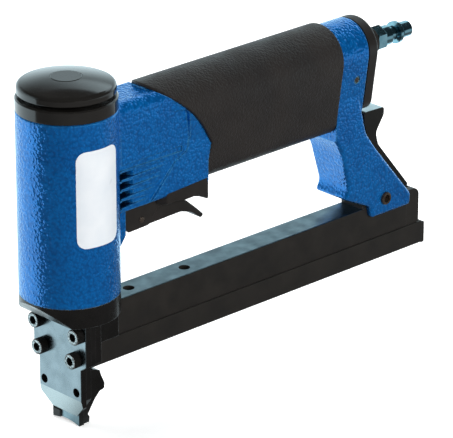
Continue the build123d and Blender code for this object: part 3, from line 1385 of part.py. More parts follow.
def drawer_channel():
    """Lower magazine section that runs on the rail's beads."""
    inner = RAIL_INNER_HALF + RAIL_SKIRT_T + SLIDE_GAP
    groove = inner + RAIL_BEAD_W
    bead_z = DRAWER_FLOOR_Z + FREE_GAP
    half = [
        (inner, DRAWER_TOP_Z),
        (DRAWER_HALF, DRAWER_TOP_Z),
        (DRAWER_HALF, DRAWER_Z),
        (0, DRAWER_Z),
    ]
    inside = [
        (0, DRAWER_FLOOR_Z),
        (groove, DRAWER_FLOOR_Z),
        (groove, bead_z + RAIL_BEAD_H + SLIDE_GAP),
        (inner, bead_z + RAIL_BEAD_H + SLIDE_GAP),
    ]
    corners = inside + half
    radii = [0, 0, 0, 0, 0, 0.4, 0.8, 0]
    right = cross_plane(RAIL_START_X + SIDE_GAP) * outline(corners, radii)
    side = extrude(right, amount=DRAWER_END_X - 2.6 - RAIL_START_X - SIDE_GAP)
    channel = side + mirror(side, about=Plane.XZ)
    for x in core_screw_places():
        channel -= rod(SMALL_SCREW_R + SIDE_GAP, (x, 0, DRAWER_Z), (x, 0, DRAWER_FLOOR_Z))
        channel -= countersink((x, 0, DRAWER_Z), (0, 0, 1), 3, SMALL_SCREW_R)
    x = drawer_end_screw_x()
    return channel - countersink((x, 0, DRAWER_Z), (0, 0, 1), 3, SMALL_SCREW_R)


def drawer_end_screw_x():
    """X place of the drawer end's screw."""
    return DRAWER_END_X - 7


def drawer_end():
    """End block of the drawer, with the catch for the latch."""
    end = DRAWER_END_X
    inner = RAIL_INNER_HALF - SIDE_GAP
    plate = bar((end - 2.6, end), DRAWER_HALF, (DRAWER_Z, DRAWER_TOP_Z - 0.8))
    plate = fillet(plate.faces().sort_by(Axis.X)[-1].edges(), 1.2)
    body = plate + bar((CORE_END_X + 1, end - 2.5), inner, (DRAWER_FLOOR_Z, DRAWER_TOP_Z - 1))
    catch = [
        (CORE_END_X + 1, DRAWER_TOP_Z - 3),
        (CORE_END_X + 1, CATCH_TOP_Z - 2),
        (CORE_END_X + 3, CATCH_TOP_Z),
        (RAIL_END_X - 0.5, CATCH_TOP_Z),
        (RAIL_END_X - 0.5, DRAWER_TOP_Z - 3),
    ]
    body += side_plate(catch, LATCH_NOSE_HALF, [0, 0, 0.5, 0.5, 0])
    x = drawer_end_screw_x()
    return body - rod(SMALL_SCREW_R + RUN_GAP, (x, 0, DRAWER_Z), (x, 0, DRAWER_TOP_Z - 3))


def drawer_end_screw():
    """Countersunk screw that holds the drawer's end block."""
    return flat_screw((drawer_end_screw_x(), 0, DRAWER_Z), (0, 0, 1), DRAWER_FLOOR_T + 4, SMALL_SCREW_R)


def core_screw_places():
    """X places of the screws that hold the staple core to the drawer's floor."""
    return [CORE_START_X + 14, CORE_END_X - 14]


def staple_core():
    """Hollow bar that the staples straddle."""
    core = bar((CORE_START_X, CORE_END_X), CORE_HALF, (DRAWER_FLOOR_Z, CORE_TOP_Z))
    core -= bar(
        (CORE_START_X + 2, CORE_END_X + 1),
        CORE_HALF - CORE_WALL,
        (DRAWER_FLOOR_Z + CORE_FLOOR_T, CORE_TOP_Z + 1),
    )
    for x in core_screw_places():
        core -= rod(SMALL_SCREW_R + RUN_GAP, (x, 0, DRAWER_Z), (x, 0, DRAWER_FLOOR_Z + CORE_FLOOR_T + 1))
    return core


def core_screws():
    """Countersunk screws from below into the staple core."""
    length = DRAWER_FLOOR_T + CORE_FLOOR_T - SLIDE_GAP
    return [flat_screw((x, 0, DRAWER_Z), (0, 0, 1), length, SMALL_SCREW_R) for x in core_screw_places()]


def pusher():
    """Saddle that pushes the staples forward, with hangers for the spring's spool."""
    inner = CORE_HALF + SLIDE_GAP
    roof = CORE_TOP_Z + SIDE_GAP
    end = PUSHER_START_X + PUSHER_SADDLE_L
    body = bar((PUSHER_START_X, end), PUSHER_HALF, (DRAWER_FLOOR_Z + FREE_GAP, PUSHER_TOP_Z))
    body -= bar((PUSHER_START_X - 1, end + 1), inner, (DRAWER_FLOOR_Z, roof))
    body += bar((end - 1, PUSHER_START_X + PUSHER_L), inner, (roof, PUSHER_TOP_Z))
    outer_hang = CORE_HALF - CORE_WALL - SLIDE_GAP
    hanger = side_plate([
        (SPOOL_X - 4, roof + 0.5),
        (SPOOL_X - 2.6, SPOOL_Z - 2.6),
        (SPOOL_X + 2.6, SPOOL_Z - 2.6),
        (SPOOL_X + 4, roof + 0.5),
    ], outer_hang, [0, 2, 2, 0])
    hanger -= bar((SPOOL_X - 10, SPOOL_X + 10), outer_hang - 0.5, (SPOOL_Z - 10, roof))
    body += hanger
    return body - rod(SPOOL_JOURNAL_R + RUN_GAP, (SPOOL_X, -10, SPOOL_Z), (SPOOL_X, 10, SPOOL_Z))


def spring_spool():
    """Spool of the feed spring, with its two journals."""
    half = CORE_HALF - CORE_WALL - SLIDE_GAP
    spool = rod(SPOOL_R, (SPOOL_X, -half + 0.7, SPOOL_Z), (SPOOL_X, half - 0.7, SPOOL_Z))
    return spool + rod(SPOOL_JOURNAL_R, (SPOOL_X, -half, SPOOL_Z), (SPOOL_X, half, SPOOL_Z))


def feed_spring():
    """Rolled strip spring: a spiral on the spool, and its free end along the core's floor."""
    step = STRIP_STEP / 2
    first_r = SPOOL_R + RUN_GAP + STRIP_T / 2 + step / 2

    def edge_run(shift):
        arcs = []
        for i in range(STRIP_HALF_TURNS):
            radius = first_r + i * step + shift
            side = 1 if i % 2 == 0 else -1
            centre_z = SPOOL_Z - side * step / 2
            top = (SPOOL_X, centre_z + side * radius)
            low = (SPOOL_X, centre_z - side * radius)
            bulge = (SPOOL_X + side * radius, centre_z)
            arcs.append(ThreePointArc(top, bulge, low))
        return arcs

    outer = edge_run(STRIP_T / 2)
    inner = edge_run(-STRIP_T / 2)
    outer_end = outer[-1] @ 1
    inner_end = inner[-1] @ 1
    front_x = CORE_START_X + 4
    lines = outer + inner + [
        Line(outer[0] @ 0, inner[0] @ 0),
        Line(outer_end, (front_x, outer_end.Y)),
        Line((front_x, outer_end.Y), (front_x, inner_end.Y)),
        Line((front_x, inner_end.Y), inner_end),
    ]
    width = CORE_HALF - CORE_WALL - SLIDE_GAP - 0.8
    gap = STRIP_STEP - STRIP_T
    print(f"feed_spring: {STRIP_HALF_TURNS / 2} turns, least gap between turns {gap:.2f} mm")
    return extrude(Plane.XZ * make_face(lines), amount=width, both=True)


NODES = [
    housing, grip_sleeve, nose_body, driver_guide, nose_plate, nose_screws, base_screws,
    cylinder_liner, liner_seal, bumper, piston, piston_seal, driver_blade, driver_pin,
    head_valve, head_valve_seal, head_valve_spring, cylinder_head, head_seal, retaining_ring,
    exhaust_deflector, deflector_screw, deflector_plug,
    trigger_bracket, bracket_screws, trigger, trigger_pin,
    valve_bushing, valve_bushing_seals, valve_stem, valve_spring, valve_plug,
    end_cap, end_cap_seal, end_cap_pin, plug_washer, air_plug,
    magazine_rail, rail_screws, rear_bracket, leg_bolt,
    latch_lever, latch_pin, latch_spring,
    drawer_channel, drawer_end, drawer_end_screw, staple_core, core_screws,
    pusher, spring_spool, feed_spring,
]


def main():
    """Build every piece and write one file for each."""
    os.makedirs("parts", exist_ok=True)
    for node in NODES:
        shape = node()
        if isinstance(shape, list):
            shape = Compound(children=shape)
        export_step(shape, f"parts/{node.__name__}.step")


main()
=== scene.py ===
import logging
import math
from collections.abc import Iterable, Sequence
from dataclasses import dataclass
from enum import Enum
from typing import Any

import bmesh
import bpy
from mathutils import Matrix, Vector


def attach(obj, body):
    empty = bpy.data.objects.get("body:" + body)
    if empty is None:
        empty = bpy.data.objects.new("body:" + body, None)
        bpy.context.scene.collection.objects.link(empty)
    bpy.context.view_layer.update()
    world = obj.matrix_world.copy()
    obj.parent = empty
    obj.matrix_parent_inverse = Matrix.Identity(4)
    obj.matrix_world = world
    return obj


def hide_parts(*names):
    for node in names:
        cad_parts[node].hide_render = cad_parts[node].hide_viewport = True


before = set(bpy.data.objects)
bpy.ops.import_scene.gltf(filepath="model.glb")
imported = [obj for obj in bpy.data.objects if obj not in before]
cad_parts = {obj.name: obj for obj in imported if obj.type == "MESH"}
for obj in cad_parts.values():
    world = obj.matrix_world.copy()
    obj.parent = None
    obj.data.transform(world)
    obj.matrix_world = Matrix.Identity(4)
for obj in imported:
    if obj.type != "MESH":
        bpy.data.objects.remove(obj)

Pair = tuple[float, float]
Triple = tuple[float, float, float]
Colour = tuple[float, float, float, float]
Tree = bpy.types.NodeTree
Socket = bpy.types.NodeSocket

LOG = logging.getLogger("stapler")
MM = 0.001
IMAGE_WIDTH = 453
MERGE_M = 1e-7
FULL_TURN = 2 * math.pi
HALF_WAY = 0.5
WHITE = "#ffffff"
ORIGIN: Triple = (0.0, 0.0, 0.0)
FORWARDS: Triple = (-1.0, 0.0, 0.0)
UPWARDS: Triple = (0.0, 0.0, 1.0)
# The sRGB curve: a straight foot up to the knee, then a power.
SRGB_KNEE, SRGB_SLOPE, SRGB_SHIFT, SRGB_POWER = 0.04045, 12.92, 0.055, 2.4


def linear(code: str) -> Colour:
    """Turns an sRGB hex value into linear colour.

    Args:
        code: Six hex digits after a hash sign.

    Returns:
        Red, green, blue and an alpha of 1.
    """
    parts = [int(code[i:i + 2], 16) / 255 for i in (1, 3, 5)]
    red, green, blue = (
        p / SRGB_SLOPE if p <= SRGB_KNEE else ((p + SRGB_SHIFT) / (1 + SRGB_SHIFT)) ** SRGB_POWER
        for p in parts
    )
    return red, green, blue, 1.0


def per_metre(size_mm: float) -> float:
    """Returns the texture scale at which one cell of a pattern is size_mm long."""
    return 1.0 / (size_mm * MM)


def add(tree: Tree, kind: str, inputs: dict[Any, Any], **settings: Any) -> bpy.types.Node:
    """Adds a node with its settings, values and links.

    Args:
        tree: Node tree that takes the node.
        kind: Blender's name of the node type.
        inputs: Value or output socket for each input, by name or index.
        settings: Attributes of the node itself.

    Returns:
        The new node.
    """
    made = tree.nodes.new(kind)
    for name, value in settings.items():
        setattr(made, name, value)
    for key, value in inputs.items():
        if isinstance(value, Socket):
            tree.links.new(value, made.inputs[key])
        else:
            made.inputs[key].default_value = value
    return made


class Axis(Enum):
    """Direction that a grain is drawn out in, as the scale of each coordinate."""

    NONE = (1.0, 1.0, 1.0)
    ALONG_X = (0.04, 1.0, 1.0)
    ALONG_Y = (1.0, 0.04, 1.0)
    ALONG_Z = (1.0, 1.0, 0.04)


@dataclass(frozen=True)
class Finish:
    """Surface of one kind of material.

    A broad stain and a fine grain change its colour, roughness and relief, and a mask from
    rounded normals colours its edges: wear on most finishes, and a painted highlight on the
    enamel. Each span gives the value at which such a change starts and the one at which it is
    full. Real grain and grinding lines are finer than a pixel of the render, so grain_mm draws
    them as coarse as they need to show.
    """

    name: str
    colour: str
    stain: str
    roughness: float
    metallic: float = 0.0
    rough_spread: float = 0.08
    rough_span: Pair = (0.3, 0.7)
    rough_to_stain: float = 0.6
    stain_mm: float = 9.0
    stain_span: Pair = (0.35, 0.7)
    cloud_detail: float = 3.0
    grain_mm: float = 0.6
    grain_depth_mm: float = 0.01
    grain_detail: float = 2.0
    grain_axis: Axis = Axis.NONE
    edge_mm: float = 0.3
    edge_samples: int = 4
    # Edge colour and its mask: real wear on most finishes, a painted highlight on the enamel.
    wear_and_highlight: str = ""
    wear_and_highlight_amount: float = 0.0
    wear_and_highlight_mm: float = 4.0
    wear_and_highlight_span: Pair = (0.995, 0.8)
    coat: float = 0.0
    coat_roughness: float = 0.1
    gloss_tint: str = WHITE

    def material(self) -> bpy.types.Material:
        """Gives the finish's material, which is made on first use.

        Returns:
            The material.
        """
        found = bpy.data.materials.get(self.name)
        if found:
            return found
        made = bpy.data.materials.new(self.name)
        made.use_nodes = True
        tree = made.node_tree
        tree.nodes.clear()
        place = add(tree, "ShaderNodeTexCoord", {}).outputs["Object"]
        rounded = add(tree, "ShaderNodeBevel", {
            "Radius": self.edge_mm * MM,
        }, samples=self.edge_samples).outputs[0]
        relief = self.relief(tree, place, rounded)
        shader = add(tree, "ShaderNodeBsdfPrincipled", {
            "Base Color": self.tint(tree, place, rounded),
            "Roughness": self.shine(tree, place),
            "Normal": relief,
            "Metallic": self.metal(tree),
            "Specular Tint": linear(self.gloss_tint),
            "Coat Weight": self.coat,
            "Coat Roughness": self.coat_roughness,
            "Coat Normal": relief,
        })
        add(tree, "ShaderNodeOutputMaterial", {"Surface": shader.outputs[0]})
        return made

    def metal(self, tree: Tree) -> Any:
        """Returns the metal share, which is one value here and a socket where it varies."""
        return self.metallic

    def edges(self, tree: Tree, place: Socket, rounded: Socket) -> Socket:
        """Adds a mask of the worn and highlighted edges, which are where the rounded normal turns
        away; on the enamel it places a painted highlight.

        Args:
            tree: Node tree of the material.
            place: Object coordinates.
            rounded: Normal that is rounded over the edges.

        Returns:
            The mask's value.
        """
        true = add(tree, "ShaderNodeNewGeometry", {}).outputs["True Normal"]
        turn = add(tree, "ShaderNodeVectorMath", {
            0: rounded, 1: true,
        }, operation="DOT_PRODUCT").outputs["Value"]
        patch = add(tree, "ShaderNodeTexNoise", {
            "Vector": place, "Scale": per_metre(self.wear_and_highlight_mm), "Detail": self.cloud_detail,
        }).outputs[0]
        edge = add(tree, "ShaderNodeMapRange", {
            "Value": turn, "From Min": self.wear_and_highlight_span[0], "From Max": self.wear_and_highlight_span[1],
            "To Min": 0.0, "To Max": self.wear_and_highlight_amount,
        }).outputs[0]
        return add(tree, "ShaderNodeMath", {0: edge, 1: patch}, operation="MULTIPLY").outputs[0]

    def tint(self, tree: Tree, place: Socket, rounded: Socket) -> Socket:
        """Adds the colour: stains, and the edge colour where the finish has it, which is wear on
        most finishes and a painted highlight on the enamel.

        Args:
            tree: Node tree of the material.
            place: Object coordinates.
            rounded: Normal that is rounded over the edges.

        Returns:
            The colour.
        """
        cloud = add(tree, "ShaderNodeTexNoise", {
            "Vector": place, "Scale": per_metre(self.stain_mm), "Detail": self.cloud_detail,
        }).outputs[0]
        share = add(tree, "ShaderNodeMapRange", {
            "Value": cloud, "From Min": self.stain_span[0], "From Max": self.stain_span[1],
        }).outputs[0]
        mixed = add(tree, "ShaderNodeMix", {
            "Factor": share, "A": linear(self.colour), "B": linear(self.stain),
        }, data_type="RGBA").outputs["Result"]
        if not self.wear_and_highlight:
            return mixed
        # The edge colour: wear on most finishes, a painted highlight on the enamel's edges.
        return add(tree, "ShaderNodeMix", {
            "Factor": self.edges(tree, place, rounded), "A": mixed, "B": linear(self.wear_and_highlight),
        }, data_type="RGBA").outputs["Result"]

    def relief(self, tree: Tree, place: Socket, rounded: Socket) -> Socket:
        """Adds the relief of the grain, which is drawn out along its axis.

        Args:
            tree: Node tree of the material.
            place: Object coordinates.
            rounded: Normal that is rounded over the edges.

        Returns:
            The normal.
        """
        drawn = add(tree, "ShaderNodeMapping", {
            "Vector": place, "Scale": self.grain_axis.value,
        }).outputs[0]
        grain = add(tree, "ShaderNodeTexNoise", {
            "Vector": drawn, "Scale": per_metre(self.grain_mm), "Detail": self.grain_detail,
        }).outputs[0]
        return add(tree, "ShaderNodeBump", {
            "Height": grain, "Distance": self.grain_depth_mm * MM,
            "Strength": 1.0, "Normal": rounded,
        }).outputs[0]

    def shine(self, tree: Tree, place: Socket) -> Socket:
        """Adds the roughness, which varies in patches.

        Args:
            tree: Node tree of the material.
            place: Object coordinates.

        Returns:
            The roughness.
        """
        patch_mm = self.stain_mm * self.rough_to_stain
        cloud = add(tree, "ShaderNodeTexNoise", {
            "Vector": place, "Scale": per_metre(patch_mm), "Detail": self.cloud_detail,
        }).outputs[0]
        return add(tree, "ShaderNodeMapRange", {
            "Value": cloud, "From Min": self.rough_span[0], "From Max": self.rough_span[1],
            "To Min": self.roughness - self.rough_spread,
            "To Max": self.roughness + self.rough_spread,
        }).outputs[0]


@dataclass(frozen=True)
class HammeredFinish(Finish):
    """Stoved hammer enamel: a glossy skin of small pebbles with darker hollows, and painted shade
    in its recesses.
    """

    cell_mm: float = 1.3
    cell_depth_mm: float = 0.3
    cell_smoothness: float = 0.7
    bend_to_cell: float = 1.4
    bend_detail: float = 1.0
    hollow: str = "#07306e"
    hollow_span: Pair = (0.3, 0.75)
    hollow_amount: float = 0.4
    # Painted shade: the dark colour the enamel turns to where ambient occlusion finds a recess,
    # the distance it looks, its span, amount and samples.
    painted_shade: str = "#050d1c"
    painted_shade_mm: float = 7.0
    painted_shade_span: Pair = (0.5, 0.25)
    painted_shade_amount: float = 0.95
    painted_shade_samples: int = 8

    def pebbles(self, tree: Tree, place: Socket) -> Socket:
        """Adds the pebbles: cells whose walls are bent by noise.

        Args:
            tree: Node tree of the material.
            place: Object coordinates.

        Returns:
            The distance from the middle of a pebble, in cells.
        """
        bend_mm = self.cell_mm * self.bend_to_cell
        bend = add(tree, "ShaderNodeTexNoise", {
            "Vector": place, "Scale": per_metre(bend_mm), "Detail": self.bend_detail,
        }).outputs["Color"]
        shift = add(tree, "ShaderNodeVectorMath", {
            0: bend, 1: (HALF_WAY,) * 3,
        }, operation="SUBTRACT").outputs[0]
        moved = add(tree, "ShaderNodeVectorMath", {
            0: shift, 1: (self.cell_mm * MM,) * 3, 2: place,
        }, operation="MULTIPLY_ADD").outputs[0]
        return add(tree, "ShaderNodeTexVoronoi", {
            "Vector": moved, "Scale": per_metre(self.cell_mm), "Smoothness": self.cell_smoothness,
        }, feature="SMOOTH_F1").outputs["Distance"]

    def tint(self, tree: Tree, place: Socket, rounded: Socket) -> Socket:
        """Adds the enamel's colour, darker between the pebbles, with painted shade in the
        recesses.

        Args:
            tree: Node tree of the material.
            place: Object coordinates.
            rounded: Normal that is rounded over the edges.

        Returns:
            The colour.
        """
        depth = add(tree, "ShaderNodeMapRange", {
            "Value": self.pebbles(tree, place), "From Min": self.hollow_span[0],
            "From Max": self.hollow_span[1], "To Max": self.hollow_amount,
        }).outputs[0]
        pitted = add(tree, "ShaderNodeMix", {
            "Factor": depth, "A": super().tint(tree, place, rounded), "B": linear(self.hollow),
        }, data_type="RGBA").outputs["Result"]
        # Painted shade: ambient occlusion darkens the colour in recesses such as the fin pockets
        # and seams.
        open_sky = add(tree, "ShaderNodeAmbientOcclusion", {
            "Distance": self.painted_shade_mm * MM,
        }, samples=self.painted_shade_samples).outputs["AO"]
        painted_shade_share = add(tree, "ShaderNodeMapRange", {
            "Value": open_sky, "From Min": self.painted_shade_span[0], "From Max": self.painted_shade_span[1],
            "To Max": self.painted_shade_amount,
        }).outputs[0]
        return add(tree, "ShaderNodeMix", {
            "Factor": painted_shade_share, "A": pitted, "B": linear(self.painted_shade),
        }, data_type="RGBA").outputs["Result"]

    def relief(self, tree: Tree, place: Socket, rounded: Socket) -> Socket:
        """Adds the relief of the pebbles, which stand out between their hollows.

        Args:
            tree: Node tree of the material.
            place: Object coordinates.
            rounded: Normal that is rounded over the edges.

        Returns:
            The normal.
        """
        return add(tree, "ShaderNodeBump", {
            "Height": self.pebbles(tree, place), "Distance": self.cell_depth_mm * MM,
            "Strength": 1.0, "Normal": rounded,
        }, invert=True).outputs[0]


@dataclass(frozen=True)
class BareFaceFinish(Finish):
    """Black steel that is ground or rubbed bare on the faces that look one way."""

    bare: str = "#7f9198"
    bare_stain: str = "#6b7d84"
    facing: Triple = UPWARDS
    facing_span: Pair = (0.55, 0.7)
    limit_y_mm: float = 100.0
    patch_mm: float = 7.0
    patch_span: Pair = (0.35, 0.65)
    # Bevel colour: a painted highlight, lighter than the bare steel, on the faces that look down.
    bevel: str = ""
    bevel_highlight_span: Pair = (-0.15, -0.25)

    def share(self, tree: Tree) -> Socket:
        """Adds a mask that is 1 on the bare faces.

        Args:
            tree: Node tree of the material.

        Returns:
            The mask's value.
        """
        where = add(tree, "ShaderNodeTexCoord", {})
        look = add(tree, "ShaderNodeVectorMath", {
            0: where.outputs["Normal"], 1: self.facing,
        }, operation="DOT_PRODUCT").outputs["Value"]
        faced = add(tree, "ShaderNodeMapRange", {
            "Value": look, "From Min": self.facing_span[0], "From Max": self.facing_span[1],
        }).outputs[0]
        across = add(tree, "ShaderNodeSeparateXYZ", {0: where.outputs["Object"]}).outputs["Y"]
        inside = add(tree, "ShaderNodeMath", {
            0: across, 1: self.limit_y_mm * MM,
        }, operation="LESS_THAN").outputs[0]
        return add(tree, "ShaderNodeMath", {0: faced, 1: inside}, operation="MULTIPLY").outputs[0]

    def metal(self, tree: Tree) -> Socket:
        """Adds the metal share: all metal where the steel is bare.

        Args:
            tree: Node tree of the material.

        Returns:
            The metal share.
        """
        return add(tree, "ShaderNodeMapRange", {
            "Value": self.share(tree), "To Min": self.metallic, "To Max": 1.0,
        }).outputs[0]

    def tint(self, tree: Tree, place: Socket, rounded: Socket) -> Socket:
        """Adds the colour: the black skin, the bare steel in patches and the bevel, painted
        lighter as a highlight where it faces down.

        Args:
            tree: Node tree of the material.
            place: Object coordinates.
            rounded: Normal that is rounded over the edges.

        Returns:
            The colour.
        """
        cloud = add(tree, "ShaderNodeTexNoise", {
            "Vector": place, "Scale": per_metre(self.patch_mm), "Detail": self.cloud_detail,
        }).outputs[0]
        patch = add(tree, "ShaderNodeMapRange", {
            "Value": cloud, "From Min": self.patch_span[0], "From Max": self.patch_span[1],
        }).outputs[0]
        steel = add(tree, "ShaderNodeMix", {
            "Factor": patch, "A": linear(self.bare), "B": linear(self.bare_stain),
        }, data_type="RGBA").outputs["Result"]
        if self.bevel:
            # Painted highlight: the faces that look down take the lighter bevel colour.
            look = add(tree, "ShaderNodeTexCoord", {}).outputs["Normal"]
            down = add(tree, "ShaderNodeSeparateXYZ", {0: look}).outputs["Z"]
            painted_bevel_highlight = add(tree, "ShaderNodeMapRange", {
                "Value": down, "From Min": self.bevel_highlight_span[0], "From Max": self.bevel_highlight_span[1],
            }).outputs[0]
            steel = add(tree, "ShaderNodeMix", {
                "Factor": painted_bevel_highlight, "A": steel, "B": linear(self.bevel),
            }, data_type="RGBA").outputs["Result"]
        return add(tree, "ShaderNodeMix", {
            "Factor": self.share(tree), "A": super().tint(tree, place, rounded), "B": steel,
        }, data_type="RGBA").outputs["Result"]


# Hammer enamel on the casting: blue and glossy, with pebbles that glint, light edges that are a
# painted highlight, and painted shade in its recesses.
ENAMEL = HammeredFinish(
    name="hammered_blue_enamel", colour="#0a7fd8", stain="#0a72c8", roughness=0.2, metallic=0.55,
    stain_mm=14.0, edge_mm=0.9, wear_and_highlight="#5cbcf6", wear_and_highlight_amount=1.7, wear_and_highlight_mm=2.5,
    gloss_tint="#7fe4ff", coat=0.6, coat_roughness=0.12,
)
# Moulded rubber of the grip: black, dull and finely grained like leather.
GRIP_RUBBER = Finish(
    name="grained_grip_rubber", colour="#272423", stain="#2d2927", roughness=0.48, stain_mm=20.0,
    grain_mm=1.0, grain_depth_mm=0.5, edge_mm=0.4,
)
# Steel with a black oxide skin: satin, with bare edges.
OXIDE = Finish(
    name="black_oxide_steel", colour="#2a2826", stain="#312e2b", roughness=0.42, metallic=0.25,
    stain_mm=11.0, grain_mm=0.5, grain_depth_mm=0.008, wear_and_highlight="#6d7376", wear_and_highlight_amount=0.55,
)
# The same skin on the nose, which handling has made glossy, with bright edges.
NOSE_OXIDE = Finish(
    name="polished_oxide_steel", colour="#181716", stain="#201e1d", roughness=0.26, metallic=0.3,
    stain_mm=11.0, grain_mm=0.5, grain_depth_mm=0.006, edge_mm=0.4, wear_and_highlight="#aab2b4",
    wear_and_highlight_amount=0.9,
)
# The same skin rubbed through to grey steel on the magazine's top, where hands slide.
RAIL_OXIDE = BareFaceFinish(
    name="rubbed_rail_steel", colour="#2b2927", stain="#33302d", roughness=0.4, metallic=0.3,
    grain_mm=0.5, grain_depth_mm=0.006, grain_axis=Axis.ALONG_X, wear_and_highlight="#6d7376", wear_and_highlight_amount=0.5,
    bare="#8ba2ab", bare_stain="#748891",
)
# The driver guide, which the workpiece keeps bright in front, with a black lug beside it.
TIP_OXIDE = BareFaceFinish(
    name="rubbed_nose_steel", colour="#191817", stain="#211f1e", roughness=0.4, metallic=0.3,
    grain_mm=0.5, grain_depth_mm=0.008, wear_and_highlight="#6d7376", wear_and_highlight_amount=0.5,
    bare="#97adb5", bare_stain="#80959d", facing=FORWARDS, limit_y_mm=2.7,
)
# The nose plate: black steel with a bright front, ground upwards, and a bevel painted lighter as
# a highlight.
PLATE_STEEL = BareFaceFinish(
    name="ground_nose_steel", colour="#191817", stain="#211f1e", roughness=0.25, metallic=0.3,
    grain_mm=0.35, grain_depth_mm=0.012, grain_axis=Axis.ALONG_Z, edge_mm=0.25,
    bare="#8f9ca2", bare_stain="#818e94", facing=FORWARDS, bevel="#aeb8b9",
)
# The latch lever: black, its top rubbed bright by the thumb.
LEVER_OXIDE = BareFaceFinish(
    name="thumb_rubbed_lever", colour="#171614", stain="#1e1c1a", roughness=0.34, metallic=0.25,
    grain_mm=0.5, grain_depth_mm=0.006, wear_and_highlight="#7a8082", wear_and_highlight_amount=0.6,
    bare="#ebf6f9", bare_stain="#ccdade",
)
# Knurled sides of the nose screws: black and dull.
KNURL_OXIDE = Finish(
    name="knurled_screw_steel", colour="#171614", stain="#1d1b1a", roughness=0.42, metallic=0.2,
    stain_mm=4.0, grain_mm=0.4, grain_depth_mm=0.004, edge_mm=0.05,
)
# Rims of the nose screws: black, scuffed bright in specks by the key.
SCUFFED_OXIDE = Finish(
    name="scuffed_screw_steel", colour="#121110", stain="#181716", roughness=0.45, metallic=0.05,
    stain_mm=6.0, grain_mm=0.4, grain_depth_mm=0.008, edge_mm=0.35, wear_and_highlight="#f0f5f5",
    wear_and_highlight_amount=1.8, wear_and_highlight_mm=0.8,
)
# Fronts of the nose screws: scuffed bright in patches round a black socket.
SCREW_FACE = BareFaceFinish(
    name="scuffed_socket_screw_steel", colour="#121110", stain="#181716", roughness=0.36,
    metallic=0.2, stain_mm=6.0, grain_mm=0.4, grain_depth_mm=0.006, edge_mm=0.1, bare="#cad3d4",
    bare_stain="#2a2b2b", facing=FORWARDS, facing_span=(0.8, 0.95), patch_mm=0.8,
)
# Ground tool steel: grey, with fine grinding lines across and bright edges.
GROUND_STEEL = Finish(
    name="ground_tool_steel", colour="#7c8f96", stain="#657980", roughness=0.4, metallic=1.0,
    stain_mm=10.0, grain_mm=0.35, grain_depth_mm=0.01, grain_axis=Axis.ALONG_Y, edge_mm=0.25,
    wear_and_highlight="#d5dcdd", wear_and_highlight_amount=0.8,
)
# Turned steel under clear zinc: bright and slightly blue.
ZINC_STEEL = Finish(
    name="zinc_plated_steel", colour="#94bac6", stain="#7ea9b7", roughness=0.16, metallic=1.0,
    rough_spread=0.05, stain_mm=5.0, grain_mm=0.25, grain_depth_mm=0.004, edge_mm=0.2,
)
# Moulded nylon of the trigger, its bracket, the end cap and the pusher: black and satin.
SATIN_PLASTIC = Finish(
    name="moulded_black_nylon", colour="#221f1d", stain="#2a2624", roughness=0.45, stain_mm=12.0,
    grain_mm=0.45, grain_depth_mm=0.015, wear_and_highlight="#4a4744", wear_and_highlight_amount=0.3,
)
# Lacquer on the exhaust cap and its collar: black and glossy, so that it mirrors the studio.
CAP_BLACK = Finish(
    name="glossy_black_cap", colour="#1d1b19", stain="#242220", roughness=0.13, rough_spread=0.03,
    stain_mm=14.0, grain_mm=0.6, grain_depth_mm=0.002, edge_mm=0.35, coat=0.4,
    coat_roughness=0.08,
)
# Browned steel of the pins and the leg's bolt: a dull brown with lighter edges.
BROWNED_STEEL = Finish(
    name="browned_pin_steel", colour="#6d6158", stain="#574c44", roughness=0.3, metallic=0.75,
    stain_mm=3.0, grain_mm=0.3, grain_depth_mm=0.006, edge_mm=0.3, wear_and_highlight="#8d8278",
    wear_and_highlight_amount=0.7,
)
# Machined aluminium of the liner, the piston and the head valve: pale, with fine lines.
ALUMINIUM = Finish(
    name="machined_aluminium", colour="#c3c6c9", stain="#aeb3b7", roughness=0.3, metallic=1.0,
    grain_mm=0.3, grain_depth_mm=0.006, grain_axis=Axis.ALONG_Y, edge_mm=0.2,
)
# Turned brass of the trigger valve: yellow and fairly bright.
BRASS = Finish(
    name="turned_brass", colour="#c9a75c", stain="#ad8a44", roughness=0.28, metallic=1.0,
    grain_mm=0.3, grain_depth_mm=0.005, edge_mm=0.2,
)
# Copper of the sealing washer: red-brown, dulled by oxide.
COPPER = Finish(
    name="pressed_copper", colour="#b9764f", stain="#8f5738", roughness=0.42, metallic=1.0,
    grain_mm=0.4, grain_depth_mm=0.006, edge_mm=0.15,
)
# Nitrile rubber of the seals and the bumper: black and dull.
SEAL_RUBBER = Finish(
    name="nitrile_seal_rubber", colour="#171717", stain="#1f1f1e", roughness=0.55,
    grain_mm=0.5, grain_depth_mm=0.01, edge_mm=0.2,
)
# Vinyl of the blank sticker: white and smooth, a little greyer in patches.
LABEL_VINYL = Finish(
    name="blank_white_vinyl", colour="#f3f7fb", stain="#e9eff5", roughness=0.35, stain_mm=12.0,
    grain_mm=0.8, grain_depth_mm=0.004, edge_mm=0.1,
)

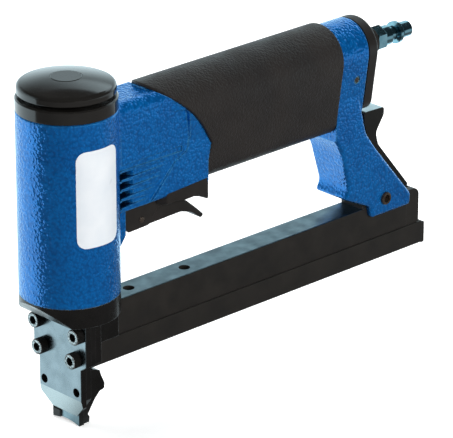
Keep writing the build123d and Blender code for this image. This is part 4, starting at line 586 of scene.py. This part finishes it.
DRESS: dict[Finish, tuple[str, ...]] = {
    ENAMEL: ("housing",),
    GRIP_RUBBER: ("grip_sleeve",),
    OXIDE: (
        "rear_bracket", "drawer_channel", "drawer_end",
        "base_screws", "bracket_screws", "rail_screws", "core_screws", "drawer_end_screw",
        "deflector_screw", "latch_spring",
    ),
    NOSE_OXIDE: ("nose_body",),
    BROWNED_STEEL: ("trigger_pin", "leg_bolt"),
    PLATE_STEEL: ("nose_plate",),
    LEVER_OXIDE: ("latch_lever",),
    RAIL_OXIDE: ("magazine_rail",),
    TIP_OXIDE: ("driver_guide",),
    GROUND_STEEL: (
        "driver_blade", "staple_core", "spring_spool", "feed_spring",
        "valve_spring", "head_valve_spring", "retaining_ring", "driver_pin",
    ),
    ZINC_STEEL: ("air_plug", "end_cap_pin", "latch_pin"),
    SATIN_PLASTIC: ("trigger", "trigger_bracket", "end_cap", "pusher"),
    CAP_BLACK: ("exhaust_deflector", "deflector_plug", "cylinder_head"),
    ALUMINIUM: ("cylinder_liner", "piston", "head_valve"),
    BRASS: ("valve_bushing", "valve_stem", "valve_plug"),
    COPPER: ("plug_washer",),
    SEAL_RUBBER: (
        "liner_seal", "bumper", "piston_seal", "head_valve_seal", "head_seal",
        "valve_bushing_seals", "end_cap_seal",
    ),
}


def dress_nodes() -> None:
    """Gives every CAD node the material of its finish."""
    for finish, names in DRESS.items():
        for name in names:
            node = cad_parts[name]
            node.data.materials.clear()
            node.data.materials.append(finish.material())
            for polygon in node.data.polygons:
                polygon.material_index = 0
            LOG.info("dressed %s in %s", name, finish.name)


def verts_of(geom: Iterable[Any]) -> list[bmesh.types.BMVert]:
    """Returns the vertices among the elements of a mesh."""
    return [part for part in geom if isinstance(part, bmesh.types.BMVert)]


def spun(outline: Sequence[Triple], axis: Triple, steps: int) -> bmesh.types.BMesh:
    """Spins an outline once round an axis through the origin.

    Args:
        outline: Points of the outline, in order.
        axis: Direction of the axis.
        steps: Number of steps in the full turn.

    Returns:
        The closed shape.
    """
    mesh = bmesh.new()
    line = [mesh.verts.new(point) for point in outline]
    edges = [mesh.edges.new(pair) for pair in zip(line, line[1:])]
    bmesh.ops.spin(mesh, geom=line + edges, cent=ORIGIN, axis=axis, angle=FULL_TURN, steps=steps,
                   use_merge=True)
    return mesh


def draw_out(mesh: bmesh.types.BMesh, faces: list[bmesh.types.BMFace], by: Triple) -> None:
    """Extrudes faces of a mesh and moves their new ends.

    Args:
        mesh: The mesh.
        faces: The faces to extrude.
        by: How far their ends move.
    """
    drawn = bmesh.ops.extrude_face_region(mesh, geom=faces)["geom"]
    bmesh.ops.translate(mesh, vec=by, verts=verts_of(drawn))


def aimed(place: Vector, target: Vector) -> Matrix:
    """Returns the placing of a lamp or camera that looks from a place at a target."""
    turn = (target - place).to_track_quat("-Z", "Y")
    return Matrix.Translation(place) @ turn.to_matrix().to_4x4()


def new_piece(name: str, mesh: bmesh.types.BMesh, finish: Finish, body: str,
              smooth: bool = True) -> bpy.types.Object:
    """Makes an object of a finished mesh and lets it ride on a body.

    Args:
        name: Name of the piece.
        mesh: Its shape, in place, in metres. It is freed.
        finish: Its surface.
        body: The CAD body that carries it.
        smooth: Whether its faces shade as one curve.

    Returns:
        The new object.
    """
    bmesh.ops.remove_doubles(mesh, verts=mesh.verts, dist=MERGE_M)
    bmesh.ops.recalc_face_normals(mesh, faces=mesh.faces)
    for face in mesh.faces:
        face.smooth = smooth
    data = bpy.data.meshes.new(name)
    mesh.to_mesh(data)
    mesh.free()
    made = bpy.data.objects.new(name, data)
    bpy.context.scene.collection.objects.link(made)
    data.materials.append(finish.material())
    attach(made, body)
    LOG.info("made %s on %s", name, body)
    return made


@dataclass(frozen=True)
class BlankLabel:
    """Plain sticker wrapped round the barrel."""

    barrel_r_mm: float = 22.5
    low_mm: float = 90.5
    high_mm: float = 135.2
    centre_deg: float = -93.0
    span_deg: float = 58.0
    corner_mm: float = 4.6
    corner_steps: int = 8
    lift_mm: float = 0.02
    thick_mm: float = 0.12
    strips: int = 58

    def build(self) -> bpy.types.Object:
        """Builds the sticker flat, cuts it into strips and wraps it round the barrel.

        Returns:
            The sticker's object.
        """
        width = math.radians(self.span_deg) * self.barrel_r_mm
        height = self.high_mm - self.low_mm
        mesh = bmesh.new()
        bmesh.ops.create_grid(mesh, x_segments=1, y_segments=1, size=HALF_WAY)
        bmesh.ops.scale(mesh, vec=(width, height, 1.0), verts=mesh.verts)
        bmesh.ops.bevel(mesh, geom=mesh.verts[:], affect="VERTICES", offset=self.corner_mm,
                        segments=self.corner_steps, profile=0.5, material=-1)
        for i in range(1, self.strips):
            cut = Vector((width * (i / self.strips - HALF_WAY), 0.0, 0.0))
            bmesh.ops.bisect_plane(mesh, geom=mesh.verts[:] + mesh.edges[:] + mesh.faces[:],
                                   plane_co=cut, plane_no=(1.0, 0.0, 0.0))
        radius = self.barrel_r_mm + self.lift_mm
        middle = (self.low_mm + self.high_mm) / 2
        for vert in mesh.verts:
            turn = math.radians(self.centre_deg) + vert.co.x / self.barrel_r_mm
            up = middle + vert.co.y
            vert.co = Vector((radius * math.cos(turn), radius * math.sin(turn), up)) * MM
        # The wall grows along the normals, which are the flat sheet's until they are updated.
        mesh.normal_update()
        bmesh.ops.solidify(mesh, geom=mesh.faces[:], thickness=-self.thick_mm * MM)
        label = new_piece("blank_label", mesh, LABEL_VINYL, "tool", smooth=False)
        return label


@dataclass(frozen=True)
class ScrewTeeth:
    """Straight knurl round the head of a nose screw, with a scuffed ring of teeth in front."""

    name: str
    y_mm: float
    z_mm: float
    rim_front_mm: float = -10.46
    rim_length_mm: float = 0.34
    rim_crest_mm: float = 3.45
    rim_root_mm: float = 3.15
    side_front_mm: float = -10.1
    side_length_mm: float = 3.3
    side_crest_mm: float = 3.66
    side_root_mm: float = 3.48
    bore_mm: float = 2.9
    teeth: int = 30

    def ring(self, front_mm: float, length_mm: float, crest_mm: float,
             root_mm: float) -> bmesh.types.BMesh:
        """Builds a ring of teeth flat, raises it and turns it on to the screw's head.

        Args:
            front_mm: Where the ring's front lies along X.
            length_mm: Its length.
            crest_mm: Radius of the teeth's crests.
            root_mm: Radius between the teeth.

        Returns:
            The ring in place, in metres.
        """
        mesh = bmesh.new()
        points = 2 * self.teeth
        rim = bmesh.ops.create_circle(mesh, segments=points, radius=crest_mm)["verts"]
        for vert in rim[::2]:
            vert.co *= root_mm / crest_mm
        bmesh.ops.create_circle(mesh, segments=points, radius=self.bore_mm)
        bmesh.ops.bridge_loops(mesh, edges=mesh.edges[:])
        draw_out(mesh, mesh.faces[:], (0.0, 0.0, length_mm))
        place = Matrix.Translation((front_mm, self.y_mm, self.z_mm))
        turn = Matrix.Rotation(FULL_TURN / 4, 4, "Y")
        bmesh.ops.transform(mesh, matrix=Matrix.Scale(MM, 4) @ place @ turn, verts=mesh.verts)
        return mesh

    def build(self) -> None:
        """Builds the scuffed rim and the knurled side."""
        rim = self.ring(self.rim_front_mm, self.rim_length_mm, self.rim_crest_mm,
                        self.rim_root_mm)
        new_piece(f"rim_{self.name}", rim, SCUFFED_OXIDE, "tool", smooth=False)
        side = self.ring(self.side_front_mm, self.side_length_mm, self.side_crest_mm,
                         self.side_root_mm)
        new_piece(f"knurl_{self.name}", side, KNURL_OXIDE, "tool", smooth=False)


NOSE_SCREWS = (
    ScrewTeeth("upper_left", 13.3, 46.7),
    ScrewTeeth("upper_right", -13.3, 46.7),
    ScrewTeeth("lower_left", 11.1, 34.5),
    ScrewTeeth("lower_right", -11.1, 34.5),
)


@dataclass(frozen=True)
class NoseScrewSet:
    """The four socket screws of the nose, with wide chamfered sockets."""

    places_mm: tuple[Pair, ...] = tuple((screw.y_mm, screw.z_mm) for screw in NOSE_SCREWS)
    front_mm: float = -10.5
    socket_mm: float = 3.4
    near_mm: float = 0.01
    # Radius and depth, from the bottom of the socket over the head to the end of the shank.
    outline_mm: tuple[Pair, ...] = (
        (0.0, 3.4), (1.7, 2.6), (1.7, 0.2), (2.0, 0.0), (3.1, 0.0), (3.5, 0.4), (3.5, 4.0),
        (2.0, 4.0), (2.0, 13.1), (0.0, 13.1),
    )
    steps: int = 48

    def build(self) -> bpy.types.Object:
        """Spins one screw's outline, makes its socket a hexagon and copies it to its places.

        Returns:
            The screws' object.
        """
        line = [(depth, across, 0.0) for across, depth in self.outline_mm]
        mesh = spun(line, (1.0, 0.0, 0.0), self.steps)
        flat = self.socket_mm / 2
        side = FULL_TURN / 6
        for vert in mesh.verts:
            if abs(math.hypot(vert.co.y, vert.co.z) - flat) < self.near_mm:
                turn = math.atan2(vert.co.z, vert.co.y) % side - side / 2
                vert.co.yz = vert.co.yz / math.cos(turn)
        first = mesh.verts[:] + mesh.edges[:] + mesh.faces[:]
        for y, z in self.places_mm:
            copy = bmesh.ops.duplicate(mesh, geom=first)["geom"]
            bmesh.ops.translate(mesh, vec=(self.front_mm, y, z), verts=verts_of(copy))
        bmesh.ops.delete(mesh, geom=verts_of(first))
        bmesh.ops.scale(mesh, vec=(MM, MM, MM), verts=mesh.verts)
        screws = new_piece("nose_screw_set", mesh, SCREW_FACE, "tool", smooth=False)
        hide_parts("nose_screws")
        return screws


@dataclass(frozen=True)
class PinHead:
    """Domed end of a driven pin, which closes the pin's bore."""

    name: str
    place_mm: Triple
    radius_mm: float
    dome_mm: float = 0.3
    depth_mm: float = 1.0
    rings: int = 4
    steps: int = 24

    def build(self) -> bpy.types.Object:
        """Builds half of the end's outline, spins it round and turns it outwards.

        Returns:
            The end's object.
        """
        turns = [FULL_TURN / 4 * i / self.rings for i in range(self.rings + 1)]
        line = [(self.radius_mm * math.sin(turn), 0.0, self.dome_mm * math.cos(turn))
                for turn in turns]
        line += [(self.radius_mm, 0.0, -self.depth_mm), (0.0, 0.0, -self.depth_mm)]
        mesh = spun(line, UPWARDS, self.steps)
        outwards = math.copysign(FULL_TURN / 4, -self.place_mm[1])
        place = Matrix.Translation(self.place_mm) @ Matrix.Rotation(outwards, 4, "X")
        bmesh.ops.transform(mesh, matrix=Matrix.Scale(MM, 4) @ place, verts=mesh.verts)
        return new_piece(self.name, mesh, BROWNED_STEEL, "tool")


PIN_HEADS = (
    PinHead("cap_pin_head_right", (165.4, -12.55, 122.0), 1.22),
    PinHead("cap_pin_head_left", (165.4, 12.55, 122.0), 1.22),
    PinHead("trigger_pin_head_right", (35.7, -8.15, 87.9), 1.45),
    PinHead("trigger_pin_head_left", (35.7, 8.15, 87.9), 1.45),
)


@dataclass(frozen=True)
class BracketCheek:
    """Thick rear part of the trigger's bracket, flush with the casting's side."""

    name: str
    side: float
    inner_mm: float = 8.05
    outer_mm: float = 12.48
    ramp_mm: float = 3.4
    edge_mm: float = 0.5
    edge_steps: int = 2
    # X and Z of the outline's corners; the first two are the foot of the ramp in front.
    outline_mm: tuple[Pair, ...] = (
        (47.2, 93.2), (47.2, 98.5), (71.6, 99.8), (71.6, 89.6), (66.0, 92.6), (58.3, 92.4),
        (52.0, 93.0),
    )

    def build(self) -> bpy.types.Object:
        """Builds the outline on the bracket's side, draws it outwards and breaks its edges.

        Returns:
            The cheek's object.
        """
        mesh = bmesh.new()
        inner = self.side * self.inner_mm
        corners = [mesh.verts.new((x, inner, z)) for x, z in self.outline_mm]
        face = mesh.faces.new(corners)
        draw_out(mesh, [face], (0.0, self.side * (self.outer_mm - self.inner_mm), 0.0))
        bmesh.ops.translate(mesh, vec=(-self.ramp_mm, 0.0, 0.0), verts=corners[:2])
        bmesh.ops.recalc_face_normals(mesh, faces=mesh.faces)
        bmesh.ops.bevel(mesh, geom=mesh.edges[:], affect="EDGES", offset=self.edge_mm,
                        segments=self.edge_steps, profile=0.5, material=-1)
        bmesh.ops.scale(mesh, vec=(MM, MM, MM), verts=mesh.verts)
        return new_piece(self.name, mesh, SATIN_PLASTIC, "tool", smooth=False)


CHEEKS = (BracketCheek("bracket_cheek_right", -1.0), BracketCheek("bracket_cheek_left", 1.0))


@dataclass(frozen=True)
class SoftBox:
    """Studio lamp with a large even face, which no surface mirrors."""

    name: str
    place_m: Triple
    size_m: Pair
    watts: float
    aim_m: Triple = (0.095, 0.0, 0.08)

    def build(self) -> bpy.types.Object:
        """Builds the lamp and turns it towards its aim.

        Returns:
            The lamp's object.
        """
        data = bpy.data.lights.new(self.name, "AREA")
        data.shape = "RECTANGLE"
        data.size, data.size_y = self.size_m
        data.energy = self.watts
        lamp = bpy.data.objects.new(self.name, data)
        lamp.visible_glossy = False
        bpy.context.scene.collection.objects.link(lamp)
        lamp.matrix_world = aimed(Vector(self.place_m), Vector(self.aim_m))
        return lamp


@dataclass(frozen=True)
class Studio:
    """White sweep, soft lamps and the camera at the photograph's angle.

    The camera sees white all round. Glossy surfaces mirror a bright sweep to the left and
    behind, a pale panel behind to the right and a dark front.
    """

    target_mm: Triple = (94.75, 0.0, 69.16)
    eye_mm: Triple = (-956.7, -1110.9, 698.9)
    focal_px: float = 3634.9
    sensor_mm: float = 36.0
    far_m: float = 50.0
    floor_m: float = 12.0
    floor_colour: str = "#f7f7f6"
    floor_glow: float = 0.5
    floor_roughness: float = 0.9
    floor_specular: float = 0.1
    shade_colour: str = "#666666"
    cool_white: str = "#d9eff6"
    # The floor's glow in reflections: where it starts and is full, across the sweep, in Y and X.
    sweep_glow: float = 1.5
    sweep_way: Triple = (0.4, 0.92, 0.0)
    sweep_edge_m: Pair = (-0.03, 0.005)
    rear_edge_m: Pair = (-0.03, 0.02)
    end_glow: float = 0.5
    end_edge_m: Pair = (0.395, 0.42)
    # The sky's glow, which also lights the object: least and most, by side and height.
    sky_glow: Pair = (0.04, 1.5)
    sky_way: Triple = (0.3, 0.95, 0.0)
    sky_side: Pair = (-0.1, 0.4)
    sky_height: Pair = (0.65, 0.05)
    # The panel, in reflections only: its soft side, its hard upper edge and its soft foot.
    panel_glow: float = 1.5
    panel_way: Triple = (0.726, -0.687, 0.0)
    panel_side: Pair = (-0.25, 0.25)
    panel_edge: Pair = (0.655, 0.635)
    panel_foot: Pair = (0.38, 0.5)
    lamps: tuple[SoftBox, ...] = (
        SoftBox("left_wall", (-0.45, 1.15, 0.35), (1.2, 1.2), 13.0),
        SoftBox("rear_overhead", (0.55, 0.75, 1.05), (1.3, 0.9), 18.0),
        SoftBox("front_fill", (-0.1, -1.4, 0.6), (0.9, 0.9), 24.0),
    )

    def floor_paint(self) -> bpy.types.Material:
        """Makes the floor's paint: white to the camera, and a bright sweep in reflections.

        Returns:
            The material.
        """
        paint = bpy.data.materials.new("white_sweep")
        paint.use_nodes = True
        tree = paint.node_tree
        tree.nodes.clear()
        path = add(tree, "ShaderNodeLightPath", {})
        place = add(tree, "ShaderNodeTexCoord", {}).outputs["Object"]
        side = add(tree, "ShaderNodeVectorMath", {
            0: place, 1: self.sweep_way,
        }, operation="DOT_PRODUCT").outputs["Value"]
        left = add(tree, "ShaderNodeMapRange", {
            "Value": side, "From Min": self.sweep_edge_m[0], "From Max": self.sweep_edge_m[1],
        }, interpolation_type="SMOOTHSTEP").outputs[0]
        spot = add(tree, "ShaderNodeSeparateXYZ", {0: place})
        beyond = add(tree, "ShaderNodeMapRange", {
            "Value": spot.outputs["X"], "From Min": self.end_edge_m[0],
            "From Max": self.end_edge_m[1], "To Max": self.end_glow,
        }, interpolation_type="SMOOTHSTEP").outputs[0]
        rear = add(tree, "ShaderNodeMapRange", {
            "Value": spot.outputs["Y"], "From Min": self.rear_edge_m[0],
            "From Max": self.rear_edge_m[1], "To Max": self.sweep_glow,
        }, interpolation_type="SMOOTHSTEP").outputs[0]
        sweep = add(tree, "ShaderNodeMath", {0: left, 1: rear}, operation="MULTIPLY").outputs[0]
        lit = add(tree, "ShaderNodeMath", {0: sweep, 1: beyond}, operation="MAXIMUM").outputs[0]
        mirrored = add(tree, "ShaderNodeMath", {
            0: path.outputs["Is Glossy Ray"], 1: lit,
        }, operation="MULTIPLY").outputs[0]
        glow = add(tree, "ShaderNodeMath", {
            0: path.outputs["Is Camera Ray"], 1: self.floor_glow, 2: mirrored,
        }, operation="MULTIPLY_ADD").outputs[0]
        tone = add(tree, "ShaderNodeMix", {
            "Factor": path.outputs["Is Camera Ray"], "A": linear(self.shade_colour),
            "B": linear(self.floor_colour),
        }, data_type="RGBA").outputs["Result"]
        shine = add(tree, "ShaderNodeMix", {
            "Factor": path.outputs["Is Camera Ray"], "A": linear(self.cool_white),
            "B": linear(WHITE),
        }, data_type="RGBA").outputs["Result"]
        shader = add(tree, "ShaderNodeBsdfPrincipled", {
            "Base Color": tone, "Roughness": self.floor_roughness,
            "Specular IOR Level": self.floor_specular,
            "Emission Color": shine, "Emission Strength": glow,
        })
        add(tree, "ShaderNodeOutputMaterial", {"Surface": shader.outputs[0]})
        return paint

    def build_floor(self) -> bpy.types.Object:
        """Builds the pale floor, which keeps the object's shadow.

        Returns:
            The floor's object.
        """
        mesh = bmesh.new()
        bmesh.ops.create_grid(mesh, x_segments=1, y_segments=1, size=self.floor_m)
        data = bpy.data.meshes.new("floor")
        mesh.to_mesh(data)
        mesh.free()
        floor = bpy.data.objects.new("floor", data)
        bpy.context.scene.collection.objects.link(floor)
        data.materials.append(self.floor_paint())
        return floor

    def build_world(self) -> None:
        """Builds the surroundings: white to the camera, bright behind and dim in front."""
        world = bpy.data.worlds.new("studio")
        bpy.context.scene.world = world
        world.use_nodes = True
        tree = world.node_tree
        tree.nodes.clear()
        path = add(tree, "ShaderNodeLightPath", {})
        way = add(tree, "ShaderNodeTexCoord", {}).outputs["Generated"]
        height = add(tree, "ShaderNodeSeparateXYZ", {0: way}).outputs["Z"]
        facing = add(tree, "ShaderNodeVectorMath", {
            0: way, 1: self.sky_way,
        }, operation="DOT_PRODUCT").outputs["Value"]
        behind = add(tree, "ShaderNodeMapRange", {
            "Value": facing, "From Min": self.sky_side[0], "From Max": self.sky_side[1],
        }, interpolation_type="SMOOTHSTEP").outputs[0]
        low = add(tree, "ShaderNodeMapRange", {
            "Value": height, "From Min": self.sky_height[0], "From Max": self.sky_height[1],
            "To Max": self.sky_glow[1],
        }, interpolation_type="SMOOTHSTEP").outputs[0]
        fade = add(tree, "ShaderNodeMath", {
            0: behind, 1: low, 2: self.sky_glow[0],
        }, operation="MULTIPLY_ADD").outputs[0]
        across = add(tree, "ShaderNodeVectorMath", {
            0: way, 1: self.panel_way,
        }, operation="DOT_PRODUCT").outputs["Value"]
        right = add(tree, "ShaderNodeMapRange", {
            "Value": across, "From Min": self.panel_side[0], "From Max": self.panel_side[1],
            "To Max": self.panel_glow,
        }, interpolation_type="SMOOTHSTEP").outputs[0]
        under = add(tree, "ShaderNodeMapRange", {
            "Value": height, "From Min": self.panel_edge[0], "From Max": self.panel_edge[1],
        }).outputs[0]
        over = add(tree, "ShaderNodeMapRange", {
            "Value": height, "From Min": self.panel_foot[0], "From Max": self.panel_foot[1],
        }, interpolation_type="SMOOTHSTEP").outputs[0]
        band = add(tree, "ShaderNodeMath", {0: under, 1: over}, operation="MULTIPLY").outputs[0]
        mirrored = add(tree, "ShaderNodeMath", {
            0: path.outputs["Is Glossy Ray"], 1: behind,
        }, operation="MULTIPLY").outputs[0]
        cut = add(tree, "ShaderNodeMath", {0: band, 1: mirrored}, operation="MULTIPLY").outputs[0]
        panel = add(tree, "ShaderNodeMath", {
            0: right, 1: cut, 2: fade,
        }, operation="MULTIPLY_ADD").outputs[0]
        strength = add(tree, "ShaderNodeMix", {
            "Factor": path.outputs["Is Camera Ray"], "A": panel, "B": 1.0,
        }, data_type="FLOAT").outputs["Result"]
        shade = add(tree, "ShaderNodeMix", {
            "Factor": path.outputs["Is Camera Ray"], "A": linear(self.cool_white),
            "B": linear(WHITE),
        }, data_type="RGBA").outputs["Result"]
        sky = add(tree, "ShaderNodeBackground", {"Color": shade, "Strength": strength})
        add(tree, "ShaderNodeOutputWorld", {"Surface": sky.outputs[0]})

    def build_camera(self) -> bpy.types.Object:
        """Builds the camera, whose lens gives the photograph's perspective.

        Returns:
            The camera's object.
        """
        data = bpy.data.cameras.new("camera")
        data.sensor_fit = "HORIZONTAL"
        data.sensor_width = self.sensor_mm
        data.lens = self.focal_px / IMAGE_WIDTH * self.sensor_mm
        data.clip_end = self.far_m
        camera = bpy.data.objects.new("camera", data)
        bpy.context.scene.collection.objects.link(camera)
        camera.matrix_world = aimed(Vector(self.eye_mm) * MM, Vector(self.target_mm) * MM)
        bpy.context.scene.camera = camera
        return camera

    def build(self) -> None:
        """Builds the floor, surroundings, lamps and camera."""
        self.build_floor()
        self.build_world()
        for lamp in self.lamps:
            lamp.build()
        self.build_camera()
        bpy.context.scene.view_settings.view_transform = "Standard"


def main() -> None:
    """Dresses the CAD nodes, builds the new pieces and the studio."""
    logging.basicConfig(level=logging.INFO, format="%(message)s")
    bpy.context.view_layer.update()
    dress_nodes()
    BlankLabel().build()
    NoseScrewSet().build()
    for piece in (*NOSE_SCREWS, *PIN_HEADS, *CHEEKS):
        piece.build()
    Studio().build()


if __name__ == "__main__":
    main()
